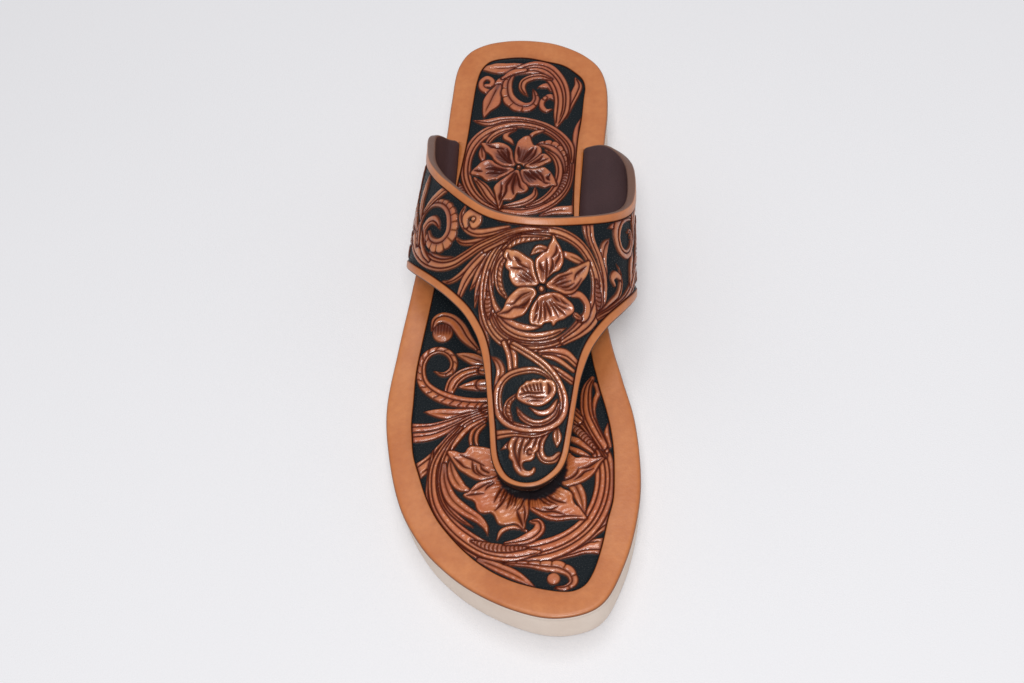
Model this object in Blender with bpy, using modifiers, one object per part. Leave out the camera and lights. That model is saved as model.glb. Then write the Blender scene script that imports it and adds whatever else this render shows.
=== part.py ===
"""Toe post sandal for the right foot.

A wedge sole carries a leather insole. One piece of leather makes the whole upper: a band over the
instep whose two wings dive into slots in the insole, and a tongue that runs forward to the toe post.

Axes: +X towards the inner side of the foot, +Y towards the heel, +Z up. The floor is z = 0 and the
origin is below the middle of the sandal. Tables are in millimetres, objects in metres.
"""

import math

import bmesh
import bpy
import numpy as np
from mathutils import Vector
from mathutils.geometry import delaunay_2d_cdt

MM = 0.001
COLLECTION = "toe_post_sandal"

# Driving dimensions
FOREFOOT_TOP = 19.5      # insole surface above the floor at the ball
HEEL_TOP = 29.0          # insole surface above the floor at the heel
WEDGE_START = -45.0      # where the wedge starts to climb, along Y
WEDGE_END = 50.0         # where it reaches the heel's height
SPRING_START = -92.0     # where the toe spring starts
SPRING_REACH = 35.0      # length over which it rises by SPRING_RISE
SPRING_RISE = 2.0
INSOLE_THICKNESS = 3.4
UPPER_THICKNESS = 3.2
SKIVED_THICKNESS = 2.0   # the wings are pared down to this where they enter the slots
SKIVE_LENGTH = 9.0
GAP = 0.3                # play between pieces that touch
SOLE_INSET = 0.9         # the sole's wall stands this far inside the insole's edge
BAND_DROP = 37.0         # height from the band's crown down to its widest level
ARCH_POWERS = (2.0, 1.75)  # roundness of the band's arch on the inner and outer side: 2 is an ellipse
BAND_REACH = 80.0        # length across the leather from the crown to a slot
SLOT_LIFT = 0.7          # the wing's underside clears the insole by this at the slot
SLOT_ANGLE = 24.0        # slope at which the wings leave the slots, in degrees
BEND_RADIUS = 0.9        # inner radius of the bend into the slot
TONGUE_DEPTH = 2.6       # how far the wings reach down inside the slots
BEND_STEPS = (0.4, 0.8, 1.3)   # rows of points round the bend, past BAND_REACH
SLOT_PLAY = 0.8          # each slot is wider and longer than the wing in it by this
EDGE_STEP = 3.0          # spacing of the points along the upper's edge
POST_X, POST_Y = 8.4, -73.5
POST_WIDTH, POST_LENGTH, POST_CORNER = 5.0, 11.0, 2.2
POST_PLAY = 0.75         # play between the post's top and the leather above, which is faceted

# Edge of the insole, seen from above: x, y. It runs from the toe up the outer side and round the heel.
INSOLE_EDGE = (
    (17.5, -130.2), (3.4, -127.0), (-12.2, -119.2), (-22.1, -111.4), (-29.6, -103.3),
    (-38.7, -87.8), (-45.3, -64.0), (-47.4, -45.5), (-45.0, -21.4), (-41.3, 3.6),
    (-36.6, 38.0), (-32.6, 74.4), (-31.6, 95.8), (-29.8, 115.6), (-25.4, 124.0), (-18.8, 128.1),
    (-11.5, 129.8), (-4.6, 130.2), (2.4, 129.6), (9.6, 128.1), (16.4, 125.2), (23.2, 120.8),
    (29.2, 114.2), (32.4, 105.0), (33.3, 90.0),
    (32.4, 74.0), (30.6, 45.0), (31.4, 10.0), (36.0, -17.6), (40.6, -34.3), (45.1, -51.4),
    (47.4, -76.0), (46.0, -92.2), (42.3, -107.8), (35.5, -123.2), (29.4, -127.9),
)
# Crown of the upper: y, x, height of its outer face above the insole
CROWN = (
    (-92.0, 8.5, 10.6), (-84.0, 8.5, 9.3), (-76.0, 8.5, 10.5), (-66.0, 8.5, 15.0),
    (-52.0, 8.6, 22.5), (-38.0, 9.0, 30.0), (-24.0, 8.6, 37.5), (-12.0, 7.6, 43.5),
    (0.0, 6.0, 49.0), (10.0, 5.0, 52.0), (25.0, 3.8, 54.0), (80.0, 3.0, 54.0),
)
# Each side of the band: y, x at its widest on the outer side, x of the slot there,
# x at its widest on the inner side, x of the slot there
SIDES = (
    (-92.0, -42.2, -35.0, 45.9, 31.0), (-8.0, -42.2, -33.4, 45.9, 29.2),
    (4.0, -41.4, -32.2, 45.9, 27.6), (14.0, -40.1, -31.2, 45.8, 26.2),
    (26.0, -38.6, -30.3, 45.8, 25.1), (39.0, -37.0, -29.4, 45.3, 24.9),
    (50.0, -36.2, -28.9, 44.2, 25.2), (62.0, -36.6, -28.7, 42.3, 25.7),
    (80.0, -36.6, -28.8, 38.0, 26.2),
)
# Front edge of the upper from the outer slot round the tip to the inner slot: length across the
# leather from the crown, y
FRONT_EDGE = (
    (-80.0, 11.5), (-70.0, 7.8), (-61.0, 2.6), (-50.8, -5.4), (-40.7, -13.6), (-33.5, -19.8),
    (-27.5, -25.5), (-23.4, -30.8), (-20.5, -35.8), (-16.7, -47.7), (-14.2, -61.0),
    (-12.0, -74.2), (-8.0, -81.2), (-2.5, -84.1), (3.0, -83.4), (9.0, -78.2), (11.8, -73.0),
    (14.4, -63.0), (16.4, -55.0), (19.0, -46.0), (23.4, -37.4), (28.0, -32.0), (34.3, -26.2),
    (43.0, -19.4), (52.0, -12.3), (61.0, -5.3), (70.0, 1.0), (80.0, 5.0),
)
# Collar and rear edges from the inner slot over the instep to the outer slot: as above
COLLAR_EDGE = (
    (80.0, 68.8), (75.0, 67.5), (69.8, 64.5), (65.5, 60.2), (60.0, 52.8),
    (55.4, 44.5), (51.0, 32.0), (46.7, 23.5), (40.5, 16.2), (33.0, 10.3), (24.0, 5.7),
    (13.0, 2.4), (3.0, 1.5), (-4.0, 2.4), (-9.2, 4.0), (-13.8, 6.5), (-18.5, 10.2),
    (-23.5, 15.0), (-29.0, 20.8), (-33.4, 25.4), (-38.2, 31.0), (-45.0, 39.2), (-51.9, 48.6),
    (-57.0, 56.8), (-61.5, 63.6), (-66.5, 67.8), (-72.0, 70.6), (-76.5, 72.2), (-80.0, 73.4),
)


def eased(value):
    """0 to 1 with level ends."""
    t = np.clip(value, 0.0, 1.0)
    return t * t * (3.0 - 2.0 * t)


def toe_spring(y):
    """Lift of the toe off the floor."""
    t = np.clip((SPRING_START - y) / SPRING_REACH, 0.0, 1.3)
    return SPRING_RISE * t * t


def insole_height(y):
    """Height of the insole's upper face above the floor."""
    climb = eased((y - WEDGE_START) / (WEDGE_END - WEDGE_START))
    return FOREFOOT_TOP + (HEEL_TOP - FOREFOOT_TOP) * climb + toe_spring(y)


def read_column(table, column, y):
    """One column of a table whose first column is y, read along a smooth curve."""
    rows = np.array(table)
    ys, values = rows[:, 0], rows[:, column]
    slopes = np.gradient(values, ys)
    i = np.clip(np.searchsorted(ys, y) - 1, 0, len(ys) - 2)
    step = ys[i + 1] - ys[i]
    t = np.clip((y - ys[i]) / step, 0.0, 1.0)
    return (
        (2 * t**3 - 3 * t**2 + 1) * values[i]
        + (t**3 - 2 * t**2 + t) * step * slopes[i]
        + (3 * t**2 - 2 * t**3) * values[i + 1]
        + (t**3 - t**2) * step * slopes[i + 1]
    )


def smooth_path(points, spacing, is_closed):
    """Even points along a smooth curve through the given ones."""
    knots = np.array(points, dtype=float)
    if is_closed:
        knots = np.vstack([knots[-2:], knots, knots[:3]])
    chords = np.sqrt(np.linalg.norm(np.diff(knots, axis=0), axis=1))
    times = np.concatenate([[0.0], np.cumsum(chords)])
    slopes = np.gradient(knots, times, axis=0)
    first, last = (2, len(knots) - 3) if is_closed else (0, len(knots) - 1)
    fine = np.linspace(times[first], times[last], 4000)
    i = np.clip(np.searchsorted(times, fine) - 1, 0, len(times) - 2)
    step = (times[i + 1] - times[i])[:, None]
    t = ((fine - times[i]) / (times[i + 1] - times[i]))[:, None]
    curve = (
        (2 * t**3 - 3 * t**2 + 1) * knots[i]
        + (t**3 - 2 * t**2 + t) * step * slopes[i]
        + (3 * t**2 - 2 * t**3) * knots[i + 1]
        + (t**3 - t**2) * step * slopes[i + 1]
    )
    lengths = np.concatenate([[0.0], np.cumsum(np.linalg.norm(np.diff(curve, axis=0), axis=1))])
    count = max(3, round(lengths[-1] / spacing))
    marks = np.linspace(0.0, lengths[-1], count + 1)
    path = np.column_stack([np.interp(marks, lengths, curve[:, k]) for k in (0, 1)])
    return path[:-1] if is_closed else path


def inset(path, distance):
    """A closed clockwise or anticlockwise path moved inwards."""
    along = np.roll(path, -1, axis=0) - np.roll(path, 1, axis=0)
    normal = np.column_stack([-along[:, 1], along[:, 0]])
    normal /= np.linalg.norm(normal, axis=1)[:, None]
    x, y = path[:, 0], path[:, 1]
    area = np.sum(x * np.roll(y, -1) - np.roll(x, -1) * y)
    return path + normal * distance * np.sign(area)


def inside(path, points):
    """Which points lie inside a closed path."""
    x, y = points[:, 0], points[:, 1]
    found = np.zeros(len(points), dtype=bool)
    for (x0, y0), (x1, y1) in zip(path, np.roll(path, -1, axis=0)):
        if y0 == y1:
            continue
        crosses = (y0 > y) != (y1 > y)
        found ^= crosses & (x < (x1 - x0) * (y - y0) / (y1 - y0) + x0)
    return found


def fill_path(path, inner, clearance):
    """Triangles that fill a closed path, using those inner points that keep clear of it."""
    distance = np.linalg.norm(inner[:, None, :] - path[None, :, :], axis=2).min(axis=1)
    kept = inner[inside(path, inner) & (distance > clearance)]
    flat = [Vector(p) for p in np.vstack([path, kept])]
    result = delaunay_2d_cdt(flat, [], [list(range(len(path)))], 1, 1e-6)
    return np.array([tuple(v) for v in result[0]]), result[2]


def material(name, colour, roughness):
    """A Principled material with one colour."""
    made = bpy.data.materials.new(name)
    made.use_nodes = True
    shader = made.node_tree.nodes["Principled BSDF"]
    shader.inputs["Base Color"].default_value = (*colour, 1.0)
    shader.inputs["Roughness"].default_value = roughness
    shader.inputs["Metallic"].default_value = 0.0
    return made


def add_object(name, bm, collection, finish=None, is_closed=True):
    """A mesh object in the collection, in metres, from a bmesh in millimetres."""
    if is_closed:
        bmesh.ops.recalc_face_normals(bm, faces=bm.faces)
    mesh = bpy.data.meshes.new(name)
    bm.to_mesh(mesh)
    bm.free()
    mesh.transform(((MM, 0, 0, 0), (0, MM, 0, 0), (0, 0, MM, 0), (0, 0, 0, 1)))
    obj = bpy.data.objects.new(name, mesh)
    collection.objects.link(obj)
    if finish:
        mesh.materials.append(finish)
        mesh.shade_smooth()
        mesh.set_sharp_from_angle(angle=math.radians(35))
    return obj


def slab(edge, levels, bottom, top):
    """A closed slab between two height functions of y.

    levels holds (inset, share of the height, rise in mm) for each ring of the wall, bottom first.
    """
    bm = bmesh.new()
    rings = []
    for moved_in, share, rise in levels:
        ring = inset(edge, moved_in)
        low, high = bottom(ring[:, 1]), top(ring[:, 1])
        heights = low + share * (high - low) + rise
        rings.append([bm.verts.new((x, y, z)) for (x, y), z in zip(ring, heights)])
    count = len(edge)
    for lower, upper in zip(rings, rings[1:]):
        for i in range(count):
            j = (i + 1) % count
            bm.faces.new((lower[i], lower[j], upper[j], upper[i]))
    across = np.arange(-40.0, 41.0, 16.0)
    along = np.arange(-120.0, 121.0, 6.0)
    grid = np.array([(x, y) for x in across for y in along])
    for ring, height in ((rings[0], bottom), (rings[-1], top)):
        path = np.array([v.co[:2] for v in ring])
        points, faces = fill_path(path, grid, 3.0)
        inner = [bm.verts.new((x, y, height(y))) for x, y in points[len(path):]]
        verts = ring + inner
        for face in faces:
            bm.faces.new([verts[k] for k in face])
    return bm


def make_sole(edge, collection):
    """Wedge sole with flat ground faces under heel and ball, and a slight toe spring."""
    levels = (
        (SOLE_INSET + 1.2, 0.0, 0.0),
        (SOLE_INSET + 0.3, 0.0, 0.5),
        (SOLE_INSET, 0.0, 1.6),
        (SOLE_INSET, 1.0, 0.0),
    )
    bm = slab(edge, levels, toe_spring, lambda y: insole_height(y) - INSOLE_THICKNESS - GAP)
    return add_object("sole", bm, collection, material("crepe_rubber", (0.66, 0.54, 0.46), 0.7))


def slot_outline(side, y0, y1):
    """The slot's plan outline, wide enough for the skived wing."""
    ys = np.linspace(y0 - SLOT_PLAY, y1 + SLOT_PLAY, 24)
    sign = -1.0 if side == 2 else 1.0
    outer = read_column(SIDES, side, ys) + sign * SLOT_PLAY / 2
    inner = outer - sign * (SKIVED_THICKNESS + SLOT_PLAY)
    return np.vstack([np.column_stack([outer, ys]), np.column_stack([inner, ys])[::-1]])


def rounded_rectangle(x, y, width, length, corner):
    """Plan outline of a rectangle with round corners."""
    points = []
    for quarter in range(4):
        sx = 1.0 if quarter in (0, 3) else -1.0
        sy = 1.0 if quarter in (0, 1) else -1.0
        for step in range(5):
            angle = math.radians(90 * quarter + 22.5 * step)
            cx = x + sx * (width / 2 - corner)
            cy = y + sy * (length / 2 - corner)
            points.append((cx + corner * math.cos(angle), cy + corner * math.sin(angle)))
    return np.array(points)


def prism(name, outline, low, high, collection):
    """An upright cutter with the given plan outline."""
    bm = bmesh.new()
    base = bm.faces.new([bm.verts.new((x, y, low)) for x, y in outline])
    grown = bmesh.ops.extrude_face_region(bm, geom=[base])
    moved = [item for item in grown["geom"] if isinstance(item, bmesh.types.BMVert)]
    bmesh.ops.translate(bm, verts=moved, vec=(0.0, 0.0, high - low))
    cutter = add_object(name, bm, collection)
    cutter.hide_render = True
    cutter.display_type = "WIRE"
    return cutter


def make_insole(edge, collection, cutters):
    """Leather insole with rounded edges, a slot for each wing and a hole for the toe post."""
    levels = (
        (0.5, 0.0, 0.0),
        (0.0, 0.0, 0.6),
        (0.0, 1.0, -1.3),
        (0.5, 1.0, -0.4),
        (1.5, 1.0, 0.0),
    )
    bm = slab(edge, levels, lambda y: insole_height(y) - INSOLE_THICKNESS, insole_height)
    insole = add_object("insole", bm, collection, material("tan_leather", (0.51, 0.19, 0.07), 0.4))
    hole = rounded_rectangle(
        POST_X, POST_Y, POST_WIDTH + 2 * GAP, POST_LENGTH + 2 * GAP, POST_CORNER + GAP
    )
    outlines = {
        "outer_slot": slot_outline(2, FRONT_EDGE[0][1], COLLAR_EDGE[-1][1]),
        "inner_slot": slot_outline(4, FRONT_EDGE[-1][1], COLLAR_EDGE[0][1]),
        "post_hole": hole,
    }
    for name, outline in outlines.items():
        cut = insole.modifiers.new(name, "BOOLEAN")
        cut.operation = "DIFFERENCE"
        cut.solver = "EXACT"
        cut.object = prism(name, outline, 8.0, 45.0, cutters)
    return insole


def band_section(y, side):
    """Outer face of the upper across one side at one y.

    side is 1 for the inner side of the foot and -1 for the outer side. Returns the points (x, z)
    from the crown to the end of the wing inside the slot, and the index where the slot starts.
    """
    crown_x, crown_h = read_column(CROWN, 1, y), read_column(CROWN, 2, y)
    wide_x = read_column(SIDES, 3 if side > 0 else 1, y)
    slot_x = read_column(SIDES, 4 if side > 0 else 2, y)
    wide_h = crown_h - BAND_DROP
    turn = np.radians(np.linspace(0.0, 90.0, 46))
    power = 2.0 / ARCH_POWERS[0 if side > 0 else 1]
    run = (wide_x - crown_x) * np.sin(turn) ** power
    arch = np.column_stack([crown_x + run, wide_h + BAND_DROP * np.cos(turn) ** power])
    reach = side * (wide_x - slot_x)
    slope = math.radians(SLOT_ANGLE)
    lean = math.radians(90.0 + SLOT_ANGLE)
    end = np.array([slot_x + side * BEND_RADIUS * (1.0 + math.cos(lean)), SLOT_LIFT])
    handles = np.array([
        (wide_x, wide_h),
        (wide_x, wide_h - 0.55 * max(wide_h, 4.0)),
        end + 0.45 * reach * np.array([side * math.cos(slope), math.sin(slope)]),
        end,
    ])
    t = np.linspace(0.0, 1.0, 31)[1:, None]
    flank = (
        (1 - t) ** 3 * handles[0]
        + 3 * (1 - t) ** 2 * t * handles[1]
        + 3 * (1 - t) * t**2 * handles[2]
        + t**3 * handles[3]
    )
    bend_turn = np.radians(np.linspace(90.0 + SLOT_ANGLE, 180.0, 5)[1:])
    centre = end - BEND_RADIUS * np.array([side * math.cos(lean), math.sin(lean)])
    bend = centre + BEND_RADIUS * np.column_stack([side * np.cos(bend_turn), np.sin(bend_turn)])
    foot = np.array([[bend[-1, 0], -TONGUE_DEPTH]])
    points = np.vstack([arch, flank, bend, foot])
    points[:, 1] += insole_height(y)
    return points, len(arch) + len(flank) - 1


def upper_point(across, y):
    """Point of the outer face at a length across the leather. Past BAND_REACH it is in the slot."""
    points, slot = band_section(y, 1 if across >= 0 else -1)
    lengths = np.concatenate([[0.0], np.cumsum(np.linalg.norm(np.diff(points, axis=0), axis=1))])
    along = min(abs(across), BAND_REACH) * lengths[slot] / BAND_REACH
    along += max(abs(across) - BAND_REACH, 0.0)
    return np.interp(along, lengths, points[:, 0]), y, np.interp(along, lengths, points[:, 1])


def upper_outline():
    """Flat outline of the upper: length across the leather from the crown, y."""
    front = smooth_path(FRONT_EDGE, EDGE_STEP, False)
    rear = smooth_path(COLLAR_EDGE, EDGE_STEP, False)
    reach = BAND_REACH + BEND_RADIUS + TONGUE_DEPTH
    sides = []
    for sign, y0, y1 in ((1, front[-1][1], rear[0][1]), (-1, rear[-1][1], front[0][1])):
        down = [(sign * (BAND_REACH + step), y0) for step in BEND_STEPS]
        bottom = [(sign * reach, y) for y in np.linspace(y0, y1, round(abs(y1 - y0) / EDGE_STEP))]
        up = [(sign * (BAND_REACH + step), y1) for step in reversed(BEND_STEPS)]
        sides.append(down + bottom + up)
    return np.vstack([front, sides[0], rear, sides[1]])


def make_upper(collection):
    """The upper: an open sheet on its outer face, thickened inwards and pared at the slots."""
    outline = upper_outline()
    lines = np.concatenate([np.arange(0.0, BAND_REACH + 1.0, 4.0), BAND_REACH + np.array(BEND_STEPS)])
    lines = np.concatenate([-lines[:0:-1], lines])
    grid = np.array([(a, y) for a in lines for y in np.arange(-84.0, 76.0, 4.0)])
    flat, faces = fill_path(outline, grid, 0.5)
    bm = bmesh.new()
    verts = [bm.verts.new(upper_point(across, y)) for across, y in flat]
    for face in faces:
        bm.faces.new([verts[k] for k in face])
    finish = material("tooled_leather", (0.42, 0.16, 0.06), 0.3)
    upper = add_object("upper", bm, collection, finish, is_closed=False)
    weights = upper.vertex_groups.new(name="thickness")
    for index, (across, _) in enumerate(flat):
        pared = np.clip((abs(across) - BAND_REACH + SKIVE_LENGTH) / SKIVE_LENGTH, 0.0, 1.0)
        share = 1.0 - pared * (1.0 - SKIVED_THICKNESS / UPPER_THICKNESS)
        weights.add([index], float(share), "REPLACE")
    wall = upper.modifiers.new("wall", "SOLIDIFY")
    wall.thickness = UPPER_THICKNESS * MM
    wall.offset = -1.0
    wall.use_even_offset = True
    wall.vertex_group = "thickness"
    return upper


def make_toe_post(collection):
    """Leather thong between the toes, from the insole's hole up to the tip of the upper."""
    outline = rounded_rectangle(POST_X, POST_Y, POST_WIDTH, POST_LENGTH, POST_CORNER)
    bm = bmesh.new()
    rings = []
    for share in (0.0, 0.35, 0.75, 1.0):
        ring = []
        for x, y in outline:
            low = insole_height(y) - INSOLE_THICKNESS
            high = upper_underside(x, y) - POST_PLAY
            ring.append(bm.verts.new((x, y, low + share * (high - low))))
        rings.append(ring)
    count = len(outline)
    for lower, upper in zip(rings, rings[1:]):
        for i in range(count):
            j = (i + 1) % count
            bm.faces.new((lower[i], lower[j], upper[j], upper[i]))
    bm.faces.new(rings[0][::-1])
    bm.faces.new(rings[-1])
    return add_object("toe_post", bm, collection, material("dark_leather", (0.1, 0.04, 0.03), 0.5))


def upper_underside(x, y):
    """Lowest height of the upper's inner face close above one plan position near its tip."""
    crown_x, crown_h = read_column(CROWN, 1, y), read_column(CROWN, 2, y)
    half = read_column(SIDES, 3, y) - crown_x
    drop = BAND_DROP * (1.0 - math.sqrt(1.0 - ((x - crown_x) / half) ** 2))
    slope = (read_column(CROWN, 2, y + 1.0) - read_column(CROWN, 2, y - 1.0)) / 2.0
    return insole_height(y) + crown_h - drop - UPPER_THICKNESS * math.hypot(1.0, slope)


def centre_on_floor(objects):
    """Moves every mesh so that the origin is below the middle of the sandal's box."""
    graph = bpy.context.evaluated_depsgraph_get()
    corners = []
    for obj in objects:
        shape = obj.evaluated_get(graph)
        corners += [shape.matrix_world @ v.co for v in shape.to_mesh().vertices]
        shape.to_mesh_clear()
    low = [min(c[k] for c in corners) for k in range(3)]
    high = [max(c[k] for c in corners) for k in range(3)]
    shift = Vector((-(low[0] + high[0]) / 2, -(low[1] + high[1]) / 2, -low[2]))
    for obj in bpy.data.objects:
        if obj.type == "MESH":
            for v in obj.data.vertices:
                v.co += shift


def clear_scene():
    """Removes whatever the scene holds."""
    for obj in list(bpy.data.objects):
        bpy.data.objects.remove(obj, do_unlink=True)


def new_collection(name):
    """A collection in the scene."""
    collection = bpy.data.collections.new(name)
    bpy.context.scene.collection.children.link(collection)
    return collection


def main():
    """Builds the sandal."""
    clear_scene()
    parts = new_collection(COLLECTION)
    cutters = new_collection(COLLECTION + "_cutters")
    cutters.hide_render = True
    edge = smooth_path(INSOLE_EDGE, EDGE_STEP * 1.5, True)
    pieces = [make_sole(edge, parts), make_insole(edge, parts, cutters)]
    pieces += [make_upper(parts), make_toe_post(parts)]
    centre_on_floor(pieces)


main()
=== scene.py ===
"""Toe post sandal with a tooled leather insole and a one-piece tooled leather upper.

Lengths inside the classes are millimetres, in the sandal's own frame: +X towards the inner side of
the foot, +Y towards the heel, +Z up from the floor. Meshes are scaled to metres when they are made.
"""

import logging
import math
from collections.abc import Callable
from dataclasses import dataclass, field
from enum import Enum

import bmesh
import bpy
import numpy as np
from mathutils import Matrix, Vector
from mathutils.geometry import delaunay_2d_cdt


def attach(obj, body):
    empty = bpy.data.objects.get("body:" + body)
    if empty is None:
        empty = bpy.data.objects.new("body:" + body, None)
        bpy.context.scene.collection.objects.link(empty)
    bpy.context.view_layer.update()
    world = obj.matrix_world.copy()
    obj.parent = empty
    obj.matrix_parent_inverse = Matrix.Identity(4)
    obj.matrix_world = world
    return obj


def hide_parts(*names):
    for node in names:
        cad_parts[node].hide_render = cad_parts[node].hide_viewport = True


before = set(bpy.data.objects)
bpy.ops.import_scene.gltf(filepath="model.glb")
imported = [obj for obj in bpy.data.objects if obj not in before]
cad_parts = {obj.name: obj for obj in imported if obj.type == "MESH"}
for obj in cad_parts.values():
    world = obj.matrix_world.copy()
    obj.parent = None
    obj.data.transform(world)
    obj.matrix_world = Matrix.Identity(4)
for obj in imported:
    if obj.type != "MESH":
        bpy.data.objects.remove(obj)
LOG = logging.getLogger("sandal")
Array = np.ndarray
# Metres in a millimetre, and the angle in degrees past which an edge is sharp.
MM = 0.001
CREASE = 50.0


# ---------------------------------------------------------------------------------------------
# Curves and outlines
# ---------------------------------------------------------------------------------------------


def hermite(knots: Array, times: Array, wanted: Array) -> Array:
    """Reads a smooth curve through the knots.

    Args:
        knots: one row per knot.
        times: the parameter of each knot, increasing.
        wanted: parameters to read at.

    Returns:
        One row per wanted parameter.
    """
    slopes = np.gradient(knots, times, axis=0)
    i = np.clip(np.searchsorted(times, wanted) - 1, 0, len(times) - 2)
    step = (times[i + 1] - times[i])[:, None]
    t = np.clip((wanted - times[i])[:, None] / step, 0.0, 1.0)
    return (
        (2 * t**3 - 3 * t**2 + 1) * knots[i]
        + (t**3 - 2 * t**2 + t) * step * slopes[i]
        + (3 * t**2 - 2 * t**3) * knots[i + 1]
        + (t**3 - t**2) * step * slopes[i + 1]
    )


def smooth_path(points: Array, spacing: float, closed: bool) -> Array:
    """Spaces points evenly along a smooth curve.

    Args:
        points: knots, one (x, y) row each.
        spacing: distance between the points returned.
        closed: whether the last knot joins the first.

    Returns:
        Points, one (x, y) row each.
    """
    knots = np.asarray(points, dtype=float)
    if closed:
        knots = np.vstack([knots[-2:], knots, knots[:3]])
    chords = np.sqrt(np.linalg.norm(np.diff(knots, axis=0), axis=1))
    times = np.concatenate([[0.0], np.cumsum(chords)])
    first, last = (2, len(knots) - 3) if closed else (0, len(knots) - 1)
    curve = hermite(knots, times, np.linspace(times[first], times[last], 40 * len(knots)))
    lengths = np.concatenate([[0.0], np.cumsum(np.linalg.norm(np.diff(curve, axis=0), axis=1))])
    marks = np.linspace(0.0, lengths[-1], max(3, round(lengths[-1] / spacing)) + 1)
    path = np.column_stack([np.interp(marks, lengths, curve[:, k]) for k in (0, 1)])
    return path[:-1] if closed else path


def inset(path: Array, distance: float) -> Array:
    """Moves a closed path inwards.

    Args:
        path: (x, y) rows.
        distance: how far.

    Returns:
        As many rows, moved.
    """
    along = np.roll(path, -1, axis=0) - np.roll(path, 1, axis=0)
    normal = np.column_stack([-along[:, 1], along[:, 0]])
    normal /= np.linalg.norm(normal, axis=1)[:, None]
    x, y = path.T
    area = np.sum(x * np.roll(y, -1) - np.roll(x, -1) * y)
    return path + normal * distance * np.sign(area)


def inside(path: Array, points: Array) -> Array:
    """Tells which points lie inside a closed path.

    Args:
        path: the path.
        points: (x, y) rows.

    Returns:
        True for each point inside.
    """
    found = np.zeros(len(points), dtype=bool)
    x, y = points.T
    for (x0, y0), (x1, y1) in zip(path, np.roll(path, -1, axis=0)):
        if y0 != y1:
            crosses = (y0 > y) != (y1 > y)
            found ^= crosses & (x < (x1 - x0) * (y - y0) / (y1 - y0) + x0)
    return found


def distance_inside(path: Array, points: Array) -> Array:
    """Measures how far points are inside a closed path.

    Args:
        path: the path, finely spaced.
        points: (x, y) rows.

    Returns:
        The distance of each up to 3, negative outside.
    """
    far = 3.0
    near = np.full(len(points), far)
    order = np.argsort(points[:, 0], kind="stable")
    xs = points[order, 0]
    chunk = 24
    for start in range(0, len(path), chunk):
        ring = path[np.arange(start, min(start + chunk, len(path)) + 1) % len(path)]
        low, high = ring.min(axis=0) - far, ring.max(axis=0) + far
        part = order[np.searchsorted(xs, low[0]) : np.searchsorted(xs, high[0])]
        ys = points[part, 1]
        part = part[(ys > low[1]) & (ys < high[1])]
        if not len(part):
            continue
        a, b = ring[:-1], ring[1:] - ring[:-1]
        away = points[part, None] - a[None]
        t = np.clip(np.sum(away * b, axis=2) / np.sum(b * b, axis=1), 0.0, 1.0)
        gap = np.linalg.norm(away - t[..., None] * b, axis=2).min(axis=1)
        near[part] = np.minimum(near[part], gap)
    return np.where(inside(path, points), near, -near)


def eased(value: Array) -> Array:
    """Runs from 0 to 1 with level ends."""
    t = np.clip(value, 0.0, 1.0)
    return t * t * (3.0 - 2.0 * t)


def groove(offset: Array | float, wide: Array | float = 0.24) -> Array:
    """Runs from 1 on a line down to 0 beside it.

    Args:
        offset: distance from the line.
        wide: the distance at which a third is left.

    Returns:
        The strength at each distance.
    """
    return np.exp(-((offset / wide) ** 2))


# ---------------------------------------------------------------------------------------------
# Tooling: what the swivel knife, the beveller and the stamps do to the leather
# ---------------------------------------------------------------------------------------------


class Cut(Enum):
    """How the inside of a motif is worked."""

    PLAIN = "left smooth"
    STEMS = "parted into stems"
    LEAF = "veined"
    BROAD = "a petal with a hatched bowl"
    BEADS = "a row of curved strokes along a stem"
    STAMPS = "a row of crescents"
    SCALLOPS = "lobes along the left edge"
    KNIFE = "one stroke of the swivel knife"


@dataclass(frozen=True)
class Motif:
    """One carved shape.

    Args:
        path: its spine, as x, y, x, y and so on. A broad petal has its outline instead.
        left: distance from the spine to its left edge, at even stations along the spine. A broad
            petal has the shade of its bowl and how far the bowl reaches from the petal's eye.
        cut: how its inside is worked.
        count: number of stems, lobes or vein pairs. A broad petal has the number of hatch lines in a
            full turn round its eye.
        right: distance from the spine to its right edge, or empty where both sides are alike. A
            broad petal has the x and y of its eye.
    """

    path: tuple[float, ...]
    left: tuple[float, ...]
    cut: Cut = Cut.PLAIN
    count: int = 0
    right: tuple[float, ...] = ()


@dataclass(frozen=True)
class Spots:
    """Where the samples round a motif lie on it.

    Args:
        s: place along the spine, 0 to 1.
        share: place across it, -1 on the right edge to 1 on the left.
        half: distance from spine to edge.
        depth: distance inside the edge.
        length: the spine's length.
    """

    s: Array
    share: Array
    half: Array
    depth: Array
    length: float


# For each sample: how far the leather sinks or rises, strength of the cut lines, darkness of the dye.
Work = tuple[Array, Array, Array]


def part_stems(motif: Motif, at: Spots) -> Work:
    """Parts a motif into stems that lie over each other.

    Args:
        motif: the shape, with its number of stems.
        at: where its samples lie.

    Returns:
        How far the leather sinks, the strength of the cut lines and the darkness of the dye.
    """
    sunk, lines, shade = np.zeros_like(at.s), np.zeros_like(at.s), np.zeros_like(at.s)
    stems = motif.count
    for k in range(1, stems):
        sway = 0.2 * math.sin(2.4 * k + stems) + 0.1 * np.sin(5.0 * at.s + 1.7 * k)
        offset = ((at.share + 1.0) / 2.0 - (k + sway) / stems) * 2.0 * at.half
        fade = eased((2.0 * at.half / stems - 0.4) / 0.4)
        if k % 2 == 0:
            fade = fade * eased((0.97 - at.s) / 0.12)
        near, bevel = groove(offset, 0.29), np.exp(-np.abs(offset) / 0.36) * (offset > 0)
        lines = np.maximum(lines, near * fade)
        sunk = sunk + fade * np.maximum(0.4 * near, 0.55 * bevel)
        shade = np.maximum(shade, fade * np.maximum(0.7 * near, 0.9 * bevel))
    return sunk, lines, shade


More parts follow.
